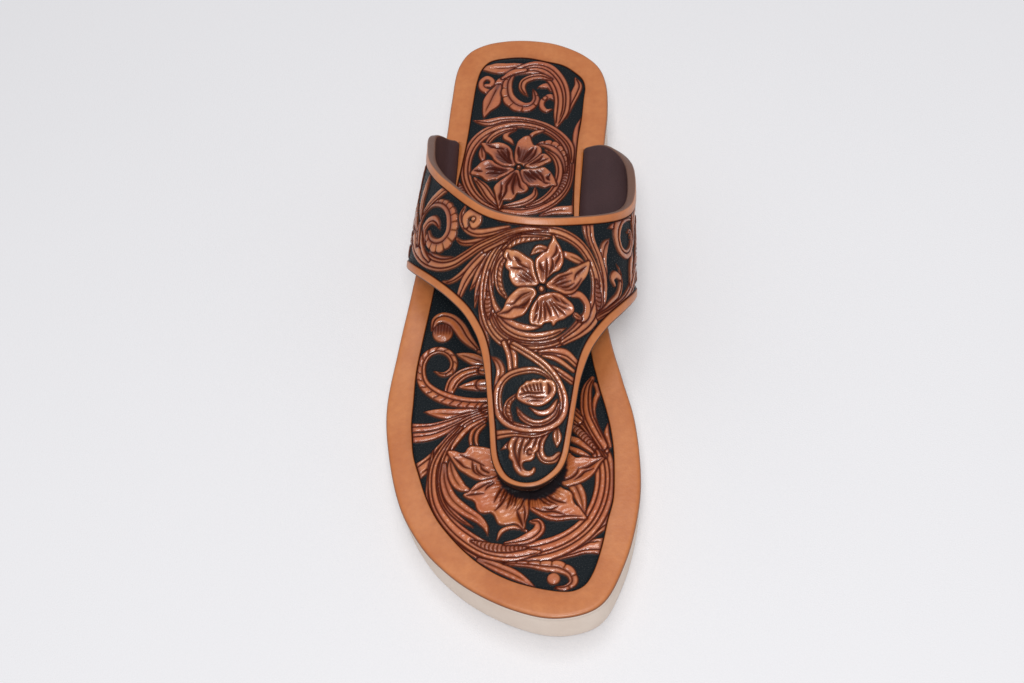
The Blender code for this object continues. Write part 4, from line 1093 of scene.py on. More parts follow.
    Motif((-53, 8, -60, 15.6, -68, 20, -74.5, 27, -75, 36, -69.5, 41.6, -63.6, 38, -64.4, 31.6, -68, 31),
          (0.7, 1.8, 2.2, 2.3, 2.2, 2.0, 1.8, 1.5, 0.5), Cut.BEADS, 2),
    Motif((-71, 42, -72, 50, -69, 58, -64.5, 62), (0.7, 2.4, 2.4, 0.1), Cut.LEAF),
    Motif((-66, 42, -62, 47.6, -58, 50.6), (0.5, 1.8, 0.1), Cut.LEAF),
    Motif((-74.6, 40, -76.2, 50, -75.4, 62), (0.5, 1.8, 0.2)),
    # inner wing
    Motif((32.4, 4.4, 34.5, 6, 36.6, 8), (0.1, 0.8, 0.5)),
    Motif((29, -24.6, 34, -20.2, 39.2, -15.2, 40.8, -10.4, 39.8, -7, 37.6, -5.4), (0.8, 1.1, 1.3, 1.2,
          1.0, 0.1), Cut.STEMS, 2),
    Motif((39.6, -9, 37, -9.2, 35.4, -11.2, 36.8, -12.6), (1.0, 1.2, 1.1, 0.6)),
    Motif((28, -25.6, 36, -20.6, 44, -14.4, 50, -7, 53.4, 2, 54.6, 12, 53, 22), (0.8, 1.2, 1.5, 1.9, 2.0,
          1.8, 0.2), Cut.STEMS, 3),
    Motif((48.2, -8, 47.8, -1, 49, 6), (0.4, 1.2, 0.1)),
    Motif((43.6, 8.6, 45.6, 10.2, 47.2, 7, 46, 3, 43, 0.3, 39.5, 0.2, 37.2, 3, 37.3, 7, 39.3, 11, 43,
          14.2, 47.4, 16.4), (0.3, 1.1, 1.2, 1.4, 1.7, 1.9, 1.9, 1.7, 1.5, 1.2, 0.4), Cut.STEMS, 2),
    Motif((50, 8, 48.4, 16, 50, 24, 54.6, 31), (0.5, 1.5, 1.6, 0.1), Cut.LEAF),
    Motif((54, 2, 61, 1.6, 68, 5, 73, 12), (0.5, 2.2, 2.5, 0.1), Cut.LEAF),
    Motif((54.4, 8, 61, 13, 69, 16, 74.8, 23, 75, 32, 69.6, 37.4, 63.8, 34.6, 64, 28, 67.8, 26.8), (0.7,
          1.8, 2.2, 2.3, 2.2, 2.0, 1.8, 1.5, 0.5), Cut.BEADS, 2),
    Motif((56, 14, 60.6, 22, 60.4, 31, 56, 38), (0.5, 2.2, 2.4, 0.1), Cut.STEMS, 3),
    Motif((70, 38, 72, 46, 69.8, 54, 66.6, 58), (0.7, 2.2, 2.2, 0.1), Cut.LEAF),
    Motif((65, 38, 63, 43, 61, 47.4), (0.5, 1.7, 0.1), Cut.LEAF),
    Motif((74.8, 36, 76.2, 46, 75.4, 58), (0.5, 1.8, 0.2)),
)
UPPER_BALLS: tuple[tuple[float, ...], ...] = (
    (4.2, -20.7, 1.0, -1),
    (-18.9, 3.2, 0.9, 0),
    (-68.0, 33.0, 2.2, 5),
    (67.4, 30.0, 2.2, 5),
)


def insole_tooling() -> Tooling:
    """Carves the insole.

    Returns:
        The carving.
    """
    sheet = Tooling(low=(-40.0, -123.0), high=(40.0, 123.0))
    for motif in INSOLE_MOTIFS:
        sheet.carve(motif)
    for x, y, radius, rays in INSOLE_BALLS:
        sheet.ball(x, y, radius, int(rays))
    # Painted shade: a dark oval under the tongue's tip, round the toe post.
    sheet.paint_shade_oval(x=8.0, y=-71.5, wide=13.6, long=13.4)
    sheet.handle(rise=0.014)
    sheet.age(ends=True, start=20.0, stop=60.0, shade=0.13)
    return sheet


def upper_tooling() -> Tooling:
    """Carves the upper.

    Returns:
        The carving.
    """
    sheet = Tooling(low=(-79.0, -84.0), high=(79.0, 75.0), stretch=1.13)
    for motif in UPPER_MOTIFS:
        sheet.carve(motif)
    for x, y, radius, rays in UPPER_BALLS:
        sheet.ball(x, y, radius, int(rays))
    sheet.handle(rise=0.02)
    sheet.age(ends=False, start=14.0, stop=34.0, shade=0.13)
    return sheet


# ---------------------------------------------------------------------------------------------
# The sandal's surfaces
# ---------------------------------------------------------------------------------------------


def read_table(table: tuple[tuple[float, ...], ...], column: int, y: Array) -> Array:
    """Reads one column of a table whose first column is y, along a smooth curve.

    Args:
        table: rows of numbers, with y first.
        column: the column to read.
        y: where to read it.

    Returns:
        The values, one for each y.
    """
    rows = np.array(table)
    return hermite(rows[:, column : column + 1], rows[:, 0], np.atleast_1d(y))[:, 0]


@dataclass
class Footbed:
    """The surface the foot stands on: level at the ball, a wedge under the arch, a slight toe spring.

    Args:
        forefoot_top: height of the insole's face at the ball.
        heel_top: its height at the heel.
        wedge_start: place where it starts to climb.
        wedge_end: place where it has reached the heel's height.
        spring_start: place where the toe starts to lift off the floor.
        spring_reach: length over which it lifts by the next value.
        spring_rise: how far it lifts.
        edge: the plan outline.
        panel: the plan outline of the tooling.
    """

    forefoot_top: float = 19.5
    heel_top: float = 29.0
    wedge_start: float = -45.0
    wedge_end: float = 50.0
    spring_start: float = -92.0
    spring_reach: float = 35.0
    spring_rise: float = 2.0
    edge: tuple[tuple[float, float], ...] = (
        (17.5, -130.2), (3.4, -127.0), (-12.2, -119.2), (-22.1, -111.4), (-29.6, -103.3),
        (-38.7, -87.8), (-45.3, -64.0), (-47.4, -45.5), (-45.0, -21.4), (-41.3, 3.6),
        (-36.6, 38.0), (-32.6, 74.4), (-31.6, 95.8), (-29.8, 115.6), (-25.4, 124.0), (-18.8, 128.1),
        (-11.5, 129.8), (-4.6, 130.2), (2.4, 129.6), (9.6, 128.1), (16.4, 125.2), (23.2, 120.8),
        (29.2, 114.2), (32.4, 105.0), (33.3, 90.0),
        (32.4, 74.0), (30.6, 45.0), (31.4, 10.0), (36.0, -17.6), (40.6, -34.3), (45.1, -51.4),
        (47.4, -76.0), (46.0, -92.2), (42.3, -107.8), (35.5, -123.2), (29.4, -127.9),
    )
    panel: tuple[tuple[float, float], ...] = (
        (-23.7, 73.6), (-22.4, 93.7), (-21.3, 107.0), (-19.6, 113.8), (-16.3, 117.9), (-8.7, 119.7),
        (-1.1, 119.6), (7.0, 117.4), (14.2, 115.0), (19.3, 110.9), (22.6, 106.8), (23.7, 102.1),
        (23.3, 96.8), (22.6, 85.0), (21.4, 73.4), (20.7, 36.5), (23.2, 10.0), (29.1, -26.1),
        (30.5, -32.0), (31.8, -37.4), (34.3, -46.4), (35.9, -53.4), (37.2, -62.2), (37.7, -71.1),
        (37.5, -83.8), (35.7, -92.1), (33.7, -102.8), (30.9, -112.6), (28.2, -117.4), (24.6, -119.6),
        (20.3, -120.0), (10.1, -118.3), (1.2, -115.4), (-7.0, -110.8), (-14.0, -105.1),
        (-20.2, -98.5), (-25.3, -91.8), (-29.6, -83.5), (-33.0, -74.2), (-35.5, -66.5),
        (-36.7, -58.6), (-37.3, -53.1), (-37.3, -44.2), (-37.2, -30.9), (-35.9, -20.0),
        (-33.3, -2.0), (-29.0, 30.0),
    )

    def spring(self, y: Array) -> Array:
        """Gives the lift of the toe off the floor."""
        t = np.clip((self.spring_start - y) / self.spring_reach, 0.0, 1.3)
        return self.spring_rise * t * t

    def height(self, y: Array) -> Array:
        """Gives the height of the insole's upper face above the floor."""
        climb = eased((y - self.wedge_start) / (self.wedge_end - self.wedge_start))
        return self.forefoot_top + (self.heel_top - self.forefoot_top) * climb + self.spring(y)

    def place(self, points: Array, depth: Array) -> Array:
        """Lays flat points on the insole.

        Args:
            points: (x, y) rows.
            depth: distance below the upper face, one for each point.

        Returns:
            (x, y, z) rows.
        """
        return np.column_stack([points, self.height(points[:, 1]) - depth])


@dataclass
class UpperLast:
    """The surface the upper is shaped over, read by length across the leather and place along.

    Args:
        footbed: what it stands on.
        band_drop: height of the crown above the band's widest place.
        arch_powers: how square the arch is on the inner and on the outer side.
        band_reach: length across the leather from the crown to the slot.
        slot_lift: height of the leather's outer face above the footbed where it turns down.
        slot_angle: slope in degrees with which it comes to the slot.
        bend_radius: of the turn into the slot.
        tongue_depth: how far it goes into the slot.
        wing_slack: how strongly the wing keeps its slope above the slot, as a share of its overhang.
        wing_drop: how strongly it stays upright below its widest place, as a share of its height there.
        thickness: of the leather.
        skived: its thickness where it is pared down to enter the slot.
        skive_length: length over which it is pared.
        stretch: length along the leather for each unit of y.
        slimming: share by which its border narrows on the tongue.
        crown: y, the crown's x and its height above the footbed.
        sides: y, the widest x and the slot's x on the outer side, and the same on the inner side.
        front: the flat front edge.
        collar: the flat rear edge.
    """

    footbed: Footbed
    band_drop: float = 37.0
    arch_powers: tuple[float, float] = (2.0, 1.75)
    band_reach: float = 80.0
    slot_lift: float = 0.7
    slot_angle: float = 24.0
    bend_radius: float = 0.9
    tongue_depth: float = 2.6
    wing_slack: float = 0.45
    wing_drop: float = 0.55
    thickness: float = 3.2
    skived: float = 2.0
    skive_length: float = 9.0
    stretch: float = 1.13
    slimming: float = 0.28
    crown: tuple[tuple[float, ...], ...] = (
        (-92.0, 8.5, 10.6), (-84.0, 8.5, 9.3), (-76.0, 8.5, 10.5), (-66.0, 8.5, 15.0),
        (-52.0, 8.6, 22.5), (-38.0, 9.0, 30.0), (-24.0, 8.6, 37.5), (-12.0, 7.6, 43.5),
        (0.0, 6.0, 49.0), (10.0, 5.0, 52.0), (25.0, 3.8, 54.0), (80.0, 3.0, 54.0),
    )
    sides: tuple[tuple[float, ...], ...] = (
        (-92.0, -42.2, -35.0, 45.9, 31.0), (-8.0, -42.2, -33.4, 45.9, 29.2),
        (4.0, -41.4, -32.2, 45.9, 27.6), (14.0, -40.1, -31.2, 45.8, 26.2),
        (26.0, -38.6, -30.3, 45.8, 25.1), (39.0, -37.0, -29.4, 45.3, 24.9),
        (50.0, -36.2, -28.9, 44.2, 25.2), (62.0, -36.6, -28.7, 42.3, 25.7),
        (80.0, -36.6, -28.8, 38.0, 26.2),
    )
    front: tuple[tuple[float, float], ...] = (
        (-80.0, 11.5), (-70.0, 7.8), (-61.0, 2.6), (-50.8, -5.4), (-40.7, -13.6), (-33.5, -19.8),
        (-27.5, -25.5), (-23.4, -30.8), (-20.5, -35.8), (-16.7, -47.7), (-14.2, -61.0),
        (-12.0, -74.2), (-8.0, -81.2), (-2.5, -84.1), (3.0, -83.4), (9.0, -78.2), (11.8, -73.0),
        (14.4, -63.0), (16.4, -55.0), (19.0, -46.0), (23.4, -37.4), (28.0, -32.0), (34.3, -26.2),
        (43.0, -19.4), (52.0, -12.3), (61.0, -5.3), (70.0, 1.0), (80.0, 5.0),
    )
    collar: tuple[tuple[float, float], ...] = (
        (80.0, 68.8), (75.0, 67.5), (69.8, 64.5), (65.5, 60.2), (60.0, 52.8), (55.4, 44.5),
        (51.0, 32.0), (46.7, 23.5), (40.5, 16.2), (33.0, 10.3), (24.0, 5.7), (13.0, 2.4),
        (3.0, 1.5), (-4.0, 2.4), (-9.2, 4.0), (-13.8, 6.5), (-18.5, 10.2), (-23.5, 15.0),
        (-29.0, 20.8), (-33.4, 25.4), (-38.2, 31.0), (-45.0, 39.2), (-51.9, 48.6), (-57.0, 56.8),
        (-61.5, 63.6), (-66.5, 67.8), (-72.0, 70.6), (-76.5, 72.2), (-80.0, 73.4),
    )

    def __post_init__(self) -> None:
        """Works out a lattice of points and outward directions on the outer face."""
        coarse, fine, bend, end = 0.6, 0.12, 78.0, 85.0
        side = np.concatenate([np.arange(0.0, bend, coarse), np.arange(bend, end, fine)])
        self.across = np.concatenate([-side[:0:-1], side])
        self.along = np.arange(-90.0, 81.0, coarse)
        rows = []
        for y in self.along:
            halves = [self.section(y, -1)[:0:-1], self.section(y, 1)]
            rows.append(np.vstack(halves))
        flat = np.array(rows)
        ys = np.broadcast_to(self.along[:, None, None], flat.shape[:2] + (1,))
        self.points = np.concatenate([flat[..., :1], ys, flat[..., 1:]], axis=2)
        d_across = np.gradient(self.points, self.across, axis=1)
        d_along = np.gradient(self.points, self.along, axis=0)
        normals = np.cross(d_across, d_along)
        self.normals = normals / np.linalg.norm(normals, axis=2)[..., None]

    def section(self, y: float, side: int) -> Array:
        """Shapes one side of the upper at one place along.

        Args:
            y: the place along.
            side: 1 for the inner side of the foot, -1 for the outer side.

        Returns:
            (x, z) rows, one for each step of the lattice from the crown outwards.
        """
        crown_x = float(read_table(self.crown, 1, y)[0])
        crown_h = float(read_table(self.crown, 2, y)[0])
        wide_x = float(read_table(self.sides, 3 if side > 0 else 1, y)[0])
        slot_x = float(read_table(self.sides, 4 if side > 0 else 2, y)[0])
        wide_h = crown_h - self.band_drop
        turn = np.radians(np.linspace(0.0, 90.0, 91))
        power = 2.0 / self.arch_powers[0 if side > 0 else 1]
        run = crown_x + (wide_x - crown_x) * np.sin(turn) ** power
        arch = np.column_stack([run, wide_h + self.band_drop * np.cos(turn) ** power])
        lean = math.radians(90.0 + self.slot_angle)
        slope = math.radians(self.slot_angle)
        radius = self.bend_radius
        end = np.array([slot_x + side * radius * (1.0 + math.cos(lean)), self.slot_lift])
        reach = side * (wide_x - slot_x)
        handle = end + self.wing_slack * reach * np.array([side * math.cos(slope), math.sin(slope)])
        knee = np.array([wide_x, wide_h - self.wing_drop * max(wide_h, 4.0)])
        t = np.linspace(0.0, 1.0, 61)[1:, None]
        flank = (1 - t) ** 3 * arch[-1] + 3 * (1 - t) ** 2 * t * knee
        flank = flank + 3 * (1 - t) * t**2 * handle + t**3 * end
        bend_turn = np.radians(np.linspace(90.0 + self.slot_angle, 180.0, 7)[1:])
        centre = end - radius * np.array([side * math.cos(lean), math.sin(lean)])
        bend = centre + radius * np.column_stack([side * np.cos(bend_turn), np.sin(bend_turn)])
        foot = np.array([[bend[-1, 0], -self.tongue_depth]])
        shape = np.vstack([arch, flank, bend, foot])
        shape[:, 1] += self.footbed.height(y)
        lengths = np.concatenate([[0.0], np.cumsum(np.linalg.norm(np.diff(shape, axis=0), axis=1))])
        side_steps = self.across[self.across >= 0]
        scale = lengths[len(arch) + len(flank) - 1] / self.band_reach
        marks = np.minimum(side_steps, self.band_reach) * scale
        marks = marks + np.maximum(side_steps - self.band_reach, 0.0)
        return np.column_stack([np.interp(marks, lengths, shape[:, k]) for k in (0, 1)])

    def place(self, points: Array, depth: Array) -> Array:
        """Lays flat points on the upper.

        Args:
            points: rows of length across the leather and y.
            depth: distance below the outer face.

        Returns:
            (x, y, z) rows.
        """
        i = np.clip(np.searchsorted(self.across, points[:, 0]) - 1, 0, len(self.across) - 2)
        j = np.clip(np.searchsorted(self.along, points[:, 1]) - 1, 0, len(self.along) - 2)
        u = (points[:, 0] - self.across[i]) / (self.across[i + 1] - self.across[i])
        v = (points[:, 1] - self.along[j]) / (self.along[j + 1] - self.along[j])
        u, v = np.clip(u, 0, 1)[:, None], np.clip(v, 0, 1)[:, None]

        found = []
        for grid in (self.points, self.normals):
            near = grid[j, i] * (1 - u) + grid[j, i + 1] * u
            far = grid[j + 1, i] * (1 - u) + grid[j + 1, i + 1] * u
            found.append(near * (1 - v) + far * v)
        return found[0] - found[1] * np.asarray(depth).reshape(-1, 1)

    def wall(self, points: Array) -> Array:
        """Gives the leather's thickness, pared down where the wings enter the slots."""
        pared = np.clip((np.abs(points[:, 0]) - self.band_reach) / self.skive_length + 1.0, 0.0, 1.0)
        return self.thickness + (self.skived - self.thickness) * pared

    def outline(self, spacing: float) -> Array:
        """Traces the flat edge of the upper.

        Args:
            spacing: distance between points.

        Returns:
            A closed path of length across the leather and y.
        """
        front = smooth_path(self.front, spacing, closed=False)
        rear = smooth_path(self.collar, spacing, closed=False)
        reach = self.band_reach + self.bend_radius + self.tongue_depth
        steps = self.band_reach + np.array([0.4, 0.8, 1.3, 1.8])
        sides = []
        for sign, y0, y1 in ((1, front[-1, 1], rear[0, 1]), (-1, rear[-1, 1], front[0, 1])):
            count = round(abs(y1 - y0) / spacing / 1.6)
            run = np.linspace(y0, y1, count)
            sides.append(np.column_stack([sign * steps, np.full(4, y0)]))
            sides.append(np.column_stack([np.full(count, sign * reach), run]))
            sides.append(np.column_stack([sign * steps[::-1], np.full(4, y1)]))
        return np.vstack([front, *sides[:3], rear, *sides[3:]])

    def frame_line(self, width: float, reach: float, spacing: float) -> Array:
        """Traces the line that frames the tooling, a fixed width inside the edges.

        Args:
            width: distance from the edge.
            reach: how far across the leather the tooling runs.
            spacing: distance between points.

        Returns:
            A closed path of length across the leather and y.
        """
        runs = []
        for edge in (self.front, self.collar):
            knots = np.array(edge) * (1.0, self.stretch)
            path = smooth_path(knots, spacing=0.5, closed=False)
            along = np.gradient(path, axis=0)
            along /= np.linalg.norm(along, axis=1)[:, None]
            slim = 1.0 - self.slimming * eased((-44.0 - path[:, 1]) / 14.0)
            path = path + width * slim[:, None] * np.column_stack([-along[:, 1], along[:, 0]])
            path = path[np.abs(path[:, 0]) < reach]
            runs.append(smooth_path(path[::3], spacing, closed=False) / (1.0, self.stretch))
        front, rear = runs
        ties = []
        for start, stop in ((front[-1], rear[0]), (rear[-1], front[0])):
            count = round(np.linalg.norm(stop - start) / spacing)
            ties.append(start + (stop - start) * np.linspace(0.0, 1.0, count)[1:-1, None])
        return np.vstack([front, ties[0], rear, ties[1]])


# ---------------------------------------------------------------------------------------------
# Meshes
# ---------------------------------------------------------------------------------------------


@dataclass
class Shell:
    """Vertices and faces gathered for one closed piece, with what the finish reads at each vertex.

    Args:
        points: the vertices in millimetres, in the lots they were added in.
        faces: vertex indices of each face.
        slots: number of the finish on each face.
        smooth: whether each face shades as one surface with its neighbours.
        marks: what the finish reads at the vertices, by name.
        total: number of vertices.
    """

    points: list[Array] = field(default_factory=list)
    faces: list[tuple[int, ...]] = field(default_factory=list)
    slots: list[int] = field(default_factory=list)
    smooth: list[bool] = field(default_factory=list)
    marks: dict[str, list[Array]] = field(default_factory=dict)
    total: int = 0

    def add(self, points: Array, **marks: Array | float) -> Array:
        """Adds vertices.

        Args:
            points: (x, y, z) rows in millimetres.
            marks: what the finish reads at them, by name.

        Returns:
            Their indices.
        """
        count = len(points)
        for name in set(self.marks) | set(marks):
            kept = self.marks.setdefault(name, [np.zeros(self.total)] if self.total else [])
            kept.append(np.broadcast_to(np.asarray(marks.get(name, 0.0), float), (count,)))
        self.points.append(points)
        self.total += count
        return np.arange(self.total - count, self.total)

    def face(self, faces: list[tuple[int, ...]], slot: int = 0, smooth: bool = True) -> None:
        """Adds faces.

        Args:
            faces: vertex indices of each.
            slot: number of the finish on them.
            smooth: whether they shade as one surface.
        """
        self.faces += faces
        self.slots += [slot] * len(faces)
        self.smooth += [smooth] * len(faces)

    def bridge(self, first: Array, second: Array, slot: int = 0, smooth: bool = True) -> None:
        """Joins two closed rings of as many vertices with quads.

        Args:
            first: vertex indices of one ring.
            second: those of the other, in the same order.
            slot: number of the finish on the quads.
            smooth: whether they shade as one surface.
        """
        a, b = np.roll(first, -1), np.roll(second, -1)
        quads = np.column_stack([first, a, b, second])
        self.face([tuple(q) for q in quads.tolist()], slot, smooth)

    def make(self, name: str, finishes: list[bpy.types.Material], crease: float = 0.0) -> bpy.types.Object:
        """Makes the piece's object.

        Args:
            name: its name.
            finishes: its materials, in the order of the slots.
            crease: angle in degrees past which an edge is sharp, or 0 for none.

        Returns:
            The object, with its place in its mesh.
        """
        mesh = bpy.data.meshes.new(name)
        mesh.from_pydata((np.vstack(self.points) * MM).tolist(), [], self.faces)
        for finish in finishes:
            mesh.materials.append(finish)
        mesh.polygons.foreach_set("material_index", self.slots)
        mesh.polygons.foreach_set("use_smooth", self.smooth)
        for key, values in self.marks.items():
            layer = mesh.attributes.new(key, "FLOAT", "POINT")
            layer.data.foreach_set("value", np.concatenate(values).astype(np.float32))
        mesh.update()
        if crease:
            mesh.set_sharp_from_angle(angle=math.radians(crease))
        piece = bpy.data.objects.new(name, mesh)
        bpy.context.scene.collection.objects.link(piece)
        turn_outwards(piece)
        return piece


def turn_outwards(piece: bpy.types.Object) -> None:
    """Turns every face of a closed mesh to point outwards.

    Args:
        piece: the object that holds the mesh.
    """
    bm = bmesh.new()
    bm.from_mesh(piece.data)
    bmesh.ops.recalc_face_normals(bm, faces=bm.faces)
    bm.to_mesh(piece.data)
    bm.free()


def fill(outer: Array, holes: list[Array], inner: Array, clearance: float) -> tuple[Array, list]:
    """Fills a closed path, less its holes, with triangles.

    Args:
        outer: the closed path.
        holes: closed paths left open inside it.
        inner: points wanted inside it.
        clearance: how far those points keep from every path.

    Returns:
        The points used, beginning with the paths in order, and the triangles.
    """
    rims = np.vstack([outer, *holes])
    kept = inner[inside(outer, inner)]
    for hole in holes:
        kept = kept[~inside(hole, kept)]
    if len(kept):
        gap = np.full(len(kept), np.inf)
        for start in range(0, len(rims), 64):
            away = np.linalg.norm(kept[:, None] - rims[None, start : start + 64], axis=2)
            gap = np.minimum(gap, away.min(axis=1))
        kept = kept[gap > clearance]
    flat = np.vstack([rims, kept])
    edges, start = [], 0
    for path in (outer, *holes):
        ring = np.arange(start, start + len(path))
        edges += np.column_stack([ring, np.roll(ring, -1)]).tolist()
        start += len(path)
    vectors = [Vector(p) for p in flat]
    result = delaunay_2d_cdt(vectors, edges, [list(range(len(outer)))], 1, 1e-7)
    points = np.array([tuple(v) for v in result[0]])
    faces = np.array(result[2])
    middle = points[faces].mean(axis=1)
    for hole in holes:
        clear = ~inside(hole, middle)
        faces, middle = faces[clear], middle[clear]
    return points, [tuple(f) for f in faces.tolist()]


def loops_of(faces: Array, count: int) -> list[Array]:
    """Follows the open edges of a mesh of quads and triangles.

    Args:
        faces: rows of four indices, the last repeated in a triangle.
        count: number of vertices.

    Returns:
        Each closed loop of vertex indices.
    """
    pairs = np.concatenate([faces[:, [k, (k + 1) % 4]] for k in range(4)])
    pairs = pairs[pairs[:, 0] != pairs[:, 1]]
    keys = pairs[:, 0].astype(np.int64) * count + pairs[:, 1]
    back = pairs[:, 1].astype(np.int64) * count + pairs[:, 0]
    lone = pairs[~np.isin(keys, back)]
    following = dict(lone.tolist())
    loops = []
    while following:
        start, here = following.popitem()
        loop = [start]
        while here != start:
            loop.append(here)
            here = following.pop(here)
        loops.append(np.array(loop))
    return loops


@dataclass
class ToolingSheet:
    """A closed slab whose upper face is tooled, laid in the recess its plate leaves for it.

    Args:
        name: of its object.
        tooling: the carving.
        line: the closed line that frames it.
        place: lays flat points on the sandal at a depth.
        cell: distance between its vertices.
        holes: closed lines that it leaves open.
        play: how far it stays inside its frame line.
        depth: of its underside.
        low: the y it starts from.
        high: the y it stops at.
    """

    name: str
    tooling: Tooling
    line: Array
    place: Callable[[Array, Array], Array]
    cell: float
    holes: tuple[Array, ...] = ()
    play: float = 0.12
    depth: float = 1.7
    low: float = -math.inf
    high: float = math.inf

    def lattice(self) -> tuple[Array, Array]:
        """Clips a square lattice along the frame line.

        Returns:
            The points, and faces of four indices with the last repeated in a triangle.
        """
        step = np.array([self.cell, self.cell / self.tooling.stretch])
        low = np.maximum(self.line.min(axis=0) - step, [-math.inf, self.low])
        high = np.minimum(self.line.max(axis=0) + step, [math.inf, self.high])
        xs = np.arange(low[0], high[0] + step[0], step[0])
        rows = max(1, round((high[1] - low[1]) / step[1]))
        ys = np.linspace(low[1], high[1], rows + 1)
        points = np.stack(np.meshgrid(xs, ys), axis=-1).reshape(-1, 2)
        deep = distance_inside(self.line, points) - self.play
        for hole in self.holes:
            deep = np.minimum(deep, -distance_inside(hole, points) - self.play)
        sliver = 0.14 * self.cell
        deep[np.abs(deep) < sliver] = 0.0
        wide = len(xs)
        corner = (np.arange(rows)[:, None] * wide + np.arange(wide - 1)).ravel()
        quads = np.column_stack([corner, corner + 1, corner + wide + 1, corner + wide])
        within = (deep[quads] >= 0).sum(axis=1)
        faces = quads[within == 4].tolist()
        extra: list[Array] = []
        cuts: dict[tuple[int, int], int] = {}
        for quad in quads[(within > 0) & (within < 4)].tolist():
            shape = []
            for a, b in zip(quad, quad[1:] + quad[:1]):
                if deep[a] >= 0:
                    shape.append(a)
                if deep[a] * deep[b] < 0:
                    key = (min(a, b), max(a, b))
                    if key not in cuts:
                        share = deep[key[0]] / (deep[key[0]] - deep[key[1]])
                        cuts[key] = len(points) + len(extra)
                        extra.append(points[key[0]] + share * (points[key[1]] - points[key[0]]))
                    shape.append(cuts[key])
            for k in range(1, len(shape) - 2, 2):
                faces.append([shape[0], shape[k], shape[k + 1], shape[k + 2]])
            if len(shape) >= 3 and len(shape) % 2:
                faces.append([shape[0], shape[-2], shape[-1], shape[-1]])
        points = np.vstack([points, *extra]) if extra else points
        faces = np.array(faces)
        used, index = np.unique(faces, return_inverse=True)
        return points[used], index.reshape(faces.shape)

    def make(self, finish: bpy.types.Material) -> bpy.types.Object:
        """Makes the slab.

        Args:
            finish: the tooled leather.

        Returns:
            Its object.
        """
        points, quads = self.lattice()
        x, y = points.T
        tool = self.tooling
        rim = distance_inside(self.line, points)
        shell = Shell()
        # A knife line frames the tooling, and the leather slopes down to it.
        height = tool.read(tool.height, x, y)
        height = height + (-0.4 - height) * groove(rim, 0.55)
        top = shell.add(
            self.place(points, -height),
            ink=tool.read(tool.ink, x, y),
            cut=np.maximum(tool.read(tool.cut, x, y), 0.8 * groove(rim, 0.42)),
            tone=np.maximum(tool.read(tool.tone, x, y), 0.6 * groove(rim, 1.1)),
        )
        shell.face([tuple(q) if q[2] != q[3] else tuple(q[:3]) for q in quads.tolist()])
        loops = sorted(loops_of(quads, len(points)), key=len, reverse=True)
        feet = []
        for loop in loops:
            foot = shell.add(self.place(points[loop], np.full(len(loop), self.depth)), cut=1.0)
            shell.bridge(top[loop], foot, smooth=False)
            feet.append(foot)
        across, along = np.arange(-80.0, 81.0, 4.0), np.arange(-130.0, 131.0, 4.0)
        grid = np.stack(np.meshgrid(across, along, indexing="ij"), axis=-1).reshape(-1, 2)
        flat, faces = fill(points[loops[0]], [points[k] for k in loops[1:]], grid, clearance=1.5)
        rims = np.concatenate(feet)
        inner = shell.add(self.place(flat[len(rims) :], np.full(len(flat) - len(rims), self.depth)), cut=1.0)
        index = np.concatenate([rims, inner])
        shell.face([tuple(index[list(f)].tolist()) for f in faces], smooth=False)
        piece = shell.make(self.name, [finish])
        LOG.info("%s: %d faces", self.name, len(shell.faces))
        return piece


# The rings round a sheet's edge, as the plate below describes them.
Rim = tuple[tuple[float, float, float, float, int], ...]


